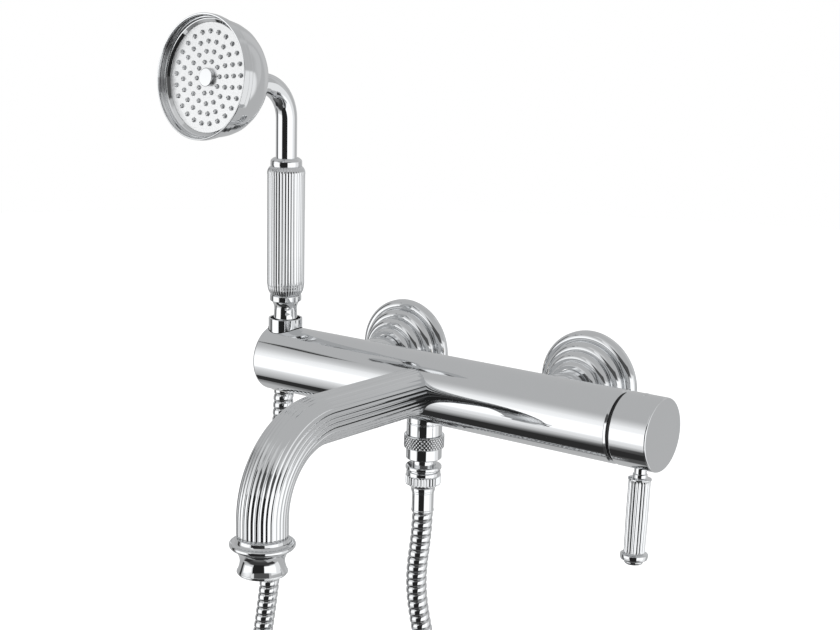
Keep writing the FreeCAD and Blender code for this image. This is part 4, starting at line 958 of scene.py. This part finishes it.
class TAP_OT_rose(bpy.types.Operator):
    """Rose: shell, beaded rim, spray plate with its jets and the centre button"""
    bl_idname = "tap.rose"
    bl_label = "Rose"

    def execute(self, context):
        radius = context.scene.tap_sizes.rose_radius / MM
        flat, deep, hub = radius - 4.3, PLATE_DEPTH, 7.2
        level, toward = rose_direction()
        front, back = Vector((HOLDER_X, AXIS_Y, ELBOW_HEIGHT)) + toward * ROSE_REACH, -toward
        rim = [(flat + 0.1, deep - 0.1), (flat + 1.95, 6.2), (flat + 2.35, 6.1),
               (flat + 3.2, 5.3), (flat + 3.2, 2.4), (flat + 3.75, 1.85),
               (radius - 0.2, 0.4, 0.1), (radius + 0.5, 0.35), (radius + 0.8, 1.1, 0.15),
               (radius + 0.8, 4.4), (radius + 0.4, 5.05, 0.12), (radius - 0.8, 5.2),
               (radius - 1.6, 6.6), (radius - 1.6, deep + 2.9), (flat - 1.8, deep + 2.9),
               (flat - 1.8, deep + 1.3), (flat + 0.1, deep + 1.3)]
        piece("rim", lathe(rim, front, back, 192, 0.1), "handset", ["rose_rim"])
        shell = [(radius - 1.5, 4.6), (radius, 4.6), (radius, 8.2), (radius - 0.4, 8.7),
                 (radius - 1.3, 9.3, -0.2), (radius - 1.35, 10.2), (radius - 1.5, 14.0),
                 (radius - 1.9, 17.0), (radius - 2.5, 20.0), (radius - 3.9, 24.0),
                 (radius - 6.4, 28.0), (radius - 9.7, 32.0), (radius - 15.0, 36.4),
                 (hub + 1.4, ROSE_DEPTH, 0.8), (hub, ROSE_DEPTH), (hub, ROSE_DEPTH - 4),
                 (22.7, 34.4, -0.6), (radius - 11.4, 31.0), (radius - 8.1, 27.2),
                 (radius - 5.5, 23.2), (radius - 2.7, 13.5), (radius - 2.7, 12.5),
                 (radius - 1.9, 12.5)]
        piece("shell", lathe(shell, front, back, 160), "handset", ["rose_shell"])
        plate = [(0.0, deep), (flat, deep), (flat, deep + 1.2), (0.0, deep + 1.2)]
        piece("plate", lathe(plate, front, back, 128, 0.1), "handset", ["spray_plate"],
              finish="satin_chrome")
        button = [(0.0, deep - 2.6), (5.5, deep - 2.6), (6.0, deep - 2.1, 0.1),
                  (6.0, deep - 0.1), (2.0, deep - 0.1), (2.0, 18.4), (0.0, 18.4)]
        piece("centre_button", lathe(button, front, back, 64, 0.15), "handset", ["plate_screw"])
        dress(spray_jets(front, toward, UP.cross(level)), "handset", [], "chrome")
        return {"FINISHED"}


# Hose
def coil_point(turn):
    """Place and direction of the coil's line after some turns."""
    angle = math.pi + FULL_TURN * turn
    c, s = COIL_RADIUS * math.cos(angle), COIL_RADIUS * math.sin(angle)
    place = Vector((COIL_X + c, COIL_FRONT + COIL_PITCH * turn, COIL_Z + s))
    return place, Vector((-s, COIL_PITCH / FULL_TURN, c)).normalized()


def hose_route():
    """Control points from the lower ferrule down the right leg, round the coil and up the left."""
    start, start_way = coil_point(0)
    end, end_way = coil_point(COIL_TURNS)
    right = [Vector(p) for p in RIGHT_LEG] + [end + end_way * RIGHT_RUN_IN]
    grow = 1 / math.cos(math.pi / COIL_POINTS)
    turns = []
    for k in range(int(COIL_TURNS * COIL_POINTS)):
        place = coil_point(COIL_TURNS - (k + 0.5) / COIL_POINTS)[0]
        turns.append(Vector((COIL_X + (place.x - COIL_X) * grow, place.y,
                             COIL_Z + (place.z - COIL_Z) * grow)))
    left = [Vector(p) for p in LEFT_LEG] + [start - start_way * LEFT_RUN_IN]
    return right + turns + left[::-1]


def spline_points(route):
    """Points along the NURBS line whose control points are the route."""
    curve = bpy.data.curves.new("hose_line", "CURVE")
    curve.dimensions = "3D"
    curve.resolution_u = SPLINE_STEPS
    line = curve.splines.new("NURBS")
    line.points.add(len(route) - 1)
    for point, place in zip(line.points, route):
        point.co = (*(place * MM), 1.0)
    line.order_u = 3
    line.use_endpoint_u = True
    mesh = made_plain(linked("hose_line", curve))
    return np.array([tuple(v.co) for v in mesh.vertices]) / MM


def strap_shape():
    """Soft strap round the coil's turns, at its lowest point."""
    middle = coil_point(COIL_TURNS / 2)[0].x
    section = [(-5.0, 7.6), (-4.6, 7.45), (4.6, 7.45), (5.0, 7.6), (5.0, 8.7), (4.5, 9.05),
               (0.0, 9.1), (-4.5, 9.05), (-5.0, 8.7)]
    positions = []
    for turn, first in ((0.25, math.pi / 2), (COIL_TURNS - 0.25, -math.pi / 2)):
        y = coil_point(turn)[0].y
        for k in range(STRAP_STEPS):
            angle = first + math.pi * k / (STRAP_STEPS - 1)
            for x, r in section:
                positions.append((middle + x, y + math.cos(angle) * r,
                                  COIL_Z - COIL_RADIUS + math.sin(angle) * r))
    faces = band_faces(2 * STRAP_STEPS, len(section), closed=True)
    return np.array(positions), np.zeros((len(positions), 3)), faces


class TAP_OT_hose(bpy.types.Operator):
    """Metal hose with its spiral ribs, the coiled spare length, its tie and the upper ferrule"""
    bl_idname = "tap.hose"
    bl_label = "Hose"

    def execute(self, context):
        radius = context.scene.tap_sizes.hose_radius / MM
        pitch = context.scene.tap_reliefs.rib_pitch
        line = spline_points(hose_route())
        reach = np.append(0.0, np.cumsum(np.linalg.norm(np.diff(line, axis=0), axis=1)))
        rings = int(reach[-1] / (pitch / MM / RIB_STEPS)) + 1
        marks = np.linspace(0, reach[-1], rings)
        centres = np.stack([np.interp(marks, reach, line[:, a]) for a in range(3)], 1)
        tangents = np.gradient(centres, axis=0)
        tangents /= np.linalg.norm(tangents, axis=1, keepdims=True)
        shape = swept(centres, tangents, np.array(RIGHT), radius, HOSE_SEGMENTS)
        ends = np.arange(rings * HOSE_SEGMENTS).reshape(rings, HOSE_SEGMENTS)[[0, -1]].tolist()
        shape[2].extend([ends[0][::-1], ends[1]])
        # The grooves of the strip are painted dark as shade
        hose = shaped("hose", shape, np.ones(len(shape[0])), "Spiral ribs",
                      {"Pitch": pitch, "Depth": RIB_DEPTH}, None,
                      ["hose_left_leg", "hose_right_leg", "hose_coil"], "hose_metal",
                      along=np.repeat(marks * MM, HOSE_SEGMENTS))
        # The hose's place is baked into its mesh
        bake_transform(hose)
        tie = piece("strap", strap_shape(), "tap", ["hose_tie"], "hose_tie", own_normals=False)
        upper = [(4.56, 2.0), (7.75, 2.0), (7.75, 15.7), (4.56, 15.7)]
        piece("upper_ferrule", lathe(upper, (HOLDER_X, AXIS_Y, 0), UP, 64, 0.3), "hose_end",
              ["swivel_ferrule"])
        return {"FINISHED"}


# Studio
PANELS = [
    # azimuth from the room side towards +X, elevation, half width, half height and softness in
    # degrees, slope, level; each lies over the ones before it
    ("back left wall", -173.5, 12.5, 12.0, 23.0, 10.0, 0.0, 0.60),
    ("dark floor", -16.0, -71.0, 97.0, 32.5, 12.0, 0.16, 0.076),
    ("floor below", -3.0, -89.5, 180.0, 16.5, 12.0, -0.08, 0.16),
    ("floor front right", 40.0, -53.0, 80.0, 10.0, 4.0, 0.0, 0.05),
    ("left wing", -5.8, 22.0, 7.0, 37.0, 0.6, 0.03, 0.9),
    ("left flag", -75.5, -2.0, 8.0, 32.0, 1.8, 0.0, 0.04),
    ("left softbox", -20.4, -10.4, 20.2, 27.4, 0.5, -0.206, 0.714),
    ("left softbox glow", -35.3, -3.2, 19.5, 26.8, 34.0, 0.115, 1.145),
    ("softbox core", -36.0, -9.0, 22.0, 15.0, 6.0, 0.0, 1.35),
    ("softbox edge", -53.2, 39.2, 3.9, 0.9, 1.5, -0.454, 0.024),
    ("upper flag", 37.0, 8.0, 36.0, 24.0, 3.0, -0.1, 0.09),
    ("right softbox", 111.5, -14.2, 28.0, 27.0, 4.0, -0.21, 0.95),
    ("right softbox glow", 84.0, -13.1, 21.4, 15.9, 29.7, 0.09, 1.227),
    ("right softbox core", 80.0, -13.0, 30.0, 22.0, 5.0, 0.0, 1.3),
    ("camera side flag", 21.0, -17.0, 29.0, 27.0, 1.7, -0.03, 0.02),
    ("left wall", -97.75, -1.5, 14.0, 40.6, 12.0, -0.05, 0.47),
    ("floor front", -64.6, -55.5, 20.0, 10.0, 1.3, -0.253, 0.031),
    ("back wall", 154.5, 15.6, 13.5, 11.8, 8.0, 1.24, 0.61),
    ("ceiling front", 0.0, 53.9, 33.2, 10.2, 4.8, -0.15, 0.69),
]


def panel_group():
    """Mask of one soft edged panel in the studio, for a direction."""
    net, start, end = shader_group("Studio panel", [
        ("Direction", "Vector", (0, 0, 1)), ("Azimuth", "Float", 0.0),
        ("Elevation", "Float", 0.0), ("Half width", "Float", 0.5), ("Half height", "Float", 0.5),
        ("Softness", "Float", 0.1), ("Slope", "Float", 0.0)], [("Mask", "Float")])
    spin = net.add("ShaderNodeVectorRotate", {
        "Vector": start["Direction"], "Angle": net.product(start["Azimuth"], -1.0)},
        rotation_type="Z_AXIS")
    parts = net.add("ShaderNodeSeparateXYZ", {0: spin.outputs[0]}).outputs
    azimuth = net.math("ARCTAN2", parts["X"], net.product(parts["Y"], -1.0))
    height = net.math("SUBTRACT", net.math("ARCSINE", parts["Z"]), start["Elevation"])
    rise = net.math("SUBTRACT", height, net.product(azimuth, start["Slope"]))
    masks = []
    for value, half in ((azimuth, "Half width"), (rise, "Half height")):
        inside = net.math("SUBTRACT", start[half], net.math("ABSOLUTE", value))
        edge = net.add("ShaderNodeMapRange", {
            "Value": net.math("DIVIDE", inside, start["Softness"]), "From Min": -0.5,
            "From Max": 0.5}, interpolation_type="SMOOTHSTEP")
        masks.append(edge.outputs["Result"])
    net.link(net.product(*masks), end["Mask"])
    return net.tree


def studio_world():
    """White for the camera; for the chrome, a room of soft boxes, dark flags and grey walls."""
    world = bpy.data.worlds.new("studio")
    world.use_nodes = True
    net = Net(world.node_tree)
    net.tree.nodes.clear()
    place = net.add("ShaderNodeTexCoord").outputs["Generated"]
    group = panel_group()
    colour = WALL_TONE
    for label, azimuth, elevation, width, height, soft, slope, level in PANELS:
        angles = {"Azimuth": azimuth, "Elevation": elevation, "Half width": width,
                  "Half height": height, "Softness": soft}
        inputs = {key: math.radians(value) for key, value in angles.items()}
        mask = net.add("ShaderNodeGroup", {"Direction": place, "Slope": slope, **inputs},
                       node_tree=group, label=label)
        tone = (*(level * part for part in PANEL_TINT), 1)
        colour = net.mixed(mask.outputs["Mask"], colour, tone)
    room = net.add("ShaderNodeBackground", {"Color": colour}).outputs[0]
    plain = net.add("ShaderNodeBackground", {"Color": (1, 1, 1, 1)}).outputs[0]
    soft = net.add("ShaderNodeBackground", {
        "Color": SOFT_TONE, "Strength": SOFT_STRENGTH}).outputs[0]
    path = net.add("ShaderNodeLightPath").outputs
    shiny = net.add("ShaderNodeMixShader", {"Fac": path["Is Glossy Ray"], 1: soft, 2: room})
    seen = net.add("ShaderNodeMixShader", {
        "Fac": path["Is Camera Ray"], 1: shiny.outputs[0], 2: plain})
    net.add("ShaderNodeOutputWorld", {"Surface": seen.outputs[0]})
    return world


def floor_finish(tone):
    """Matt floor that the camera sees as white where no shadow falls."""
    material = bpy.data.materials.new("pale_floor")
    material.use_nodes = True
    net = Net(material.node_tree)
    net.tree.nodes.clear()
    place = net.add("ShaderNodeTexCoord").outputs["Object"]
    noise = net.add("ShaderNodeTexNoise", {"Vector": place, "Scale": CLOUD_SCALE}).outputs["Fac"]
    paler = tuple(part * CLOUD_TONE for part in tone)
    matt = net.add("ShaderNodeBsdfDiffuse", {
        "Color": net.mixed(noise, (*tone, 1), (*paler, 1))}).outputs[0]
    path = net.add("ShaderNodeLightPath").outputs
    glow = net.add("ShaderNodeEmission", {
        "Strength": net.product(path["Is Camera Ray"], FLOOR_GLOW)}).outputs[0]
    both = net.add("ShaderNodeAddShader", {0: matt, 1: glow}).outputs[0]
    net.add("ShaderNodeOutputMaterial", {"Surface": both})
    return material


class TAP_OT_studio(bpy.types.Operator):
    """Camera at the photograph's place, pale floor and soft light"""
    bl_idname = "tap.studio"
    bl_label = "Studio"

    def execute(self, context):
        scene = context.scene
        scene.view_settings.view_transform = "Standard"
        scene.world = studio_world()
        camera = linked("camera", bpy.data.cameras.new("camera"))
        camera.data.lens = LENS
        camera.data.sensor_width = SENSOR
        right, up = Vector(CAMERA_RIGHT), Vector(CAMERA_UP)
        turn = Matrix((right, up, right.cross(up))).transposed().to_4x4()
        camera.matrix_world = Matrix.Translation(CAMERA_PLACE) @ turn
        scene.camera = camera
        mesh = bpy.data.meshes.new("floor")
        turns = [FULL_TURN * k / FLOOR_CORNERS for k in range(FLOOR_CORNERS)]
        ring = [(FLOOR_RADIUS * math.cos(angle), FLOOR_RADIUS * math.sin(angle), FLOOR_Z)
                for angle in turns]
        mesh.from_pydata(ring, [], [list(range(FLOOR_CORNERS))])
        mesh.materials.append(floor_finish(tuple(scene.tap_tones.floor)))
        floor = linked("floor", mesh)
        floor.visible_glossy = False
        lamp = bpy.data.lights.new("soft_key", "AREA")
        lamp.shape = "DISK"
        lamp.size = LAMP_SIZE
        lamp.energy = LAMP_WATTS
        key = linked("soft_key", lamp)
        key.location = LAMP_PLACE
        key.rotation_euler = (Vector(LAMP_AIM) - key.location).to_track_quat("-Z", "Y").to_euler()
        key.visible_glossy = False
        return {"FINISHED"}


class TAP_PT_panel(bpy.types.Panel):
    """Lists the operators and the sizes, reliefs and colours that they use"""
    bl_idname = "TAP_PT_panel"
    bl_label = "Wall mixer tap"
    bl_space_type = "VIEW_3D"
    bl_region_type = "UI"
    bl_category = "Tap"

    def draw(self, context):
        for operator in OPERATORS:
            self.layout.operator(operator.bl_idname)
        for name in GROUPS:
            group = getattr(context.scene, name)
            box = self.layout.box()
            for key in group.__annotations__:
                box.prop(group, key)


OPERATORS = [TAP_OT_inner_pieces, TAP_OT_hose, TAP_OT_studio, TAP_OT_wall_unions, TAP_OT_body,
             TAP_OT_lever, TAP_OT_spout, TAP_OT_shower_outlet, TAP_OT_holder,
             TAP_OT_hand_shower, TAP_OT_rose]
GROUPS = {"tap_sizes": TapSizes, "tap_reliefs": TapReliefs, "tap_tones": TapTones}


def register():
    for name, group in GROUPS.items():
        bpy.utils.register_class(group)
        setattr(bpy.types.Scene, name, bpy.props.PointerProperty(type=group))
    for thing in OPERATORS + [TAP_PT_panel]:
        bpy.utils.register_class(thing)


def unregister():
    for thing in [TAP_PT_panel] + OPERATORS[::-1]:
        bpy.utils.unregister_class(thing)
    for name, group in GROUPS.items():
        delattr(bpy.types.Scene, name)
        bpy.utils.unregister_class(group)


def main():
    register()
    for operator in OPERATORS:
        family, name = operator.bl_idname.split(".")
        getattr(getattr(bpy.ops, family), name)()


if __name__ == "__main__":
    main()
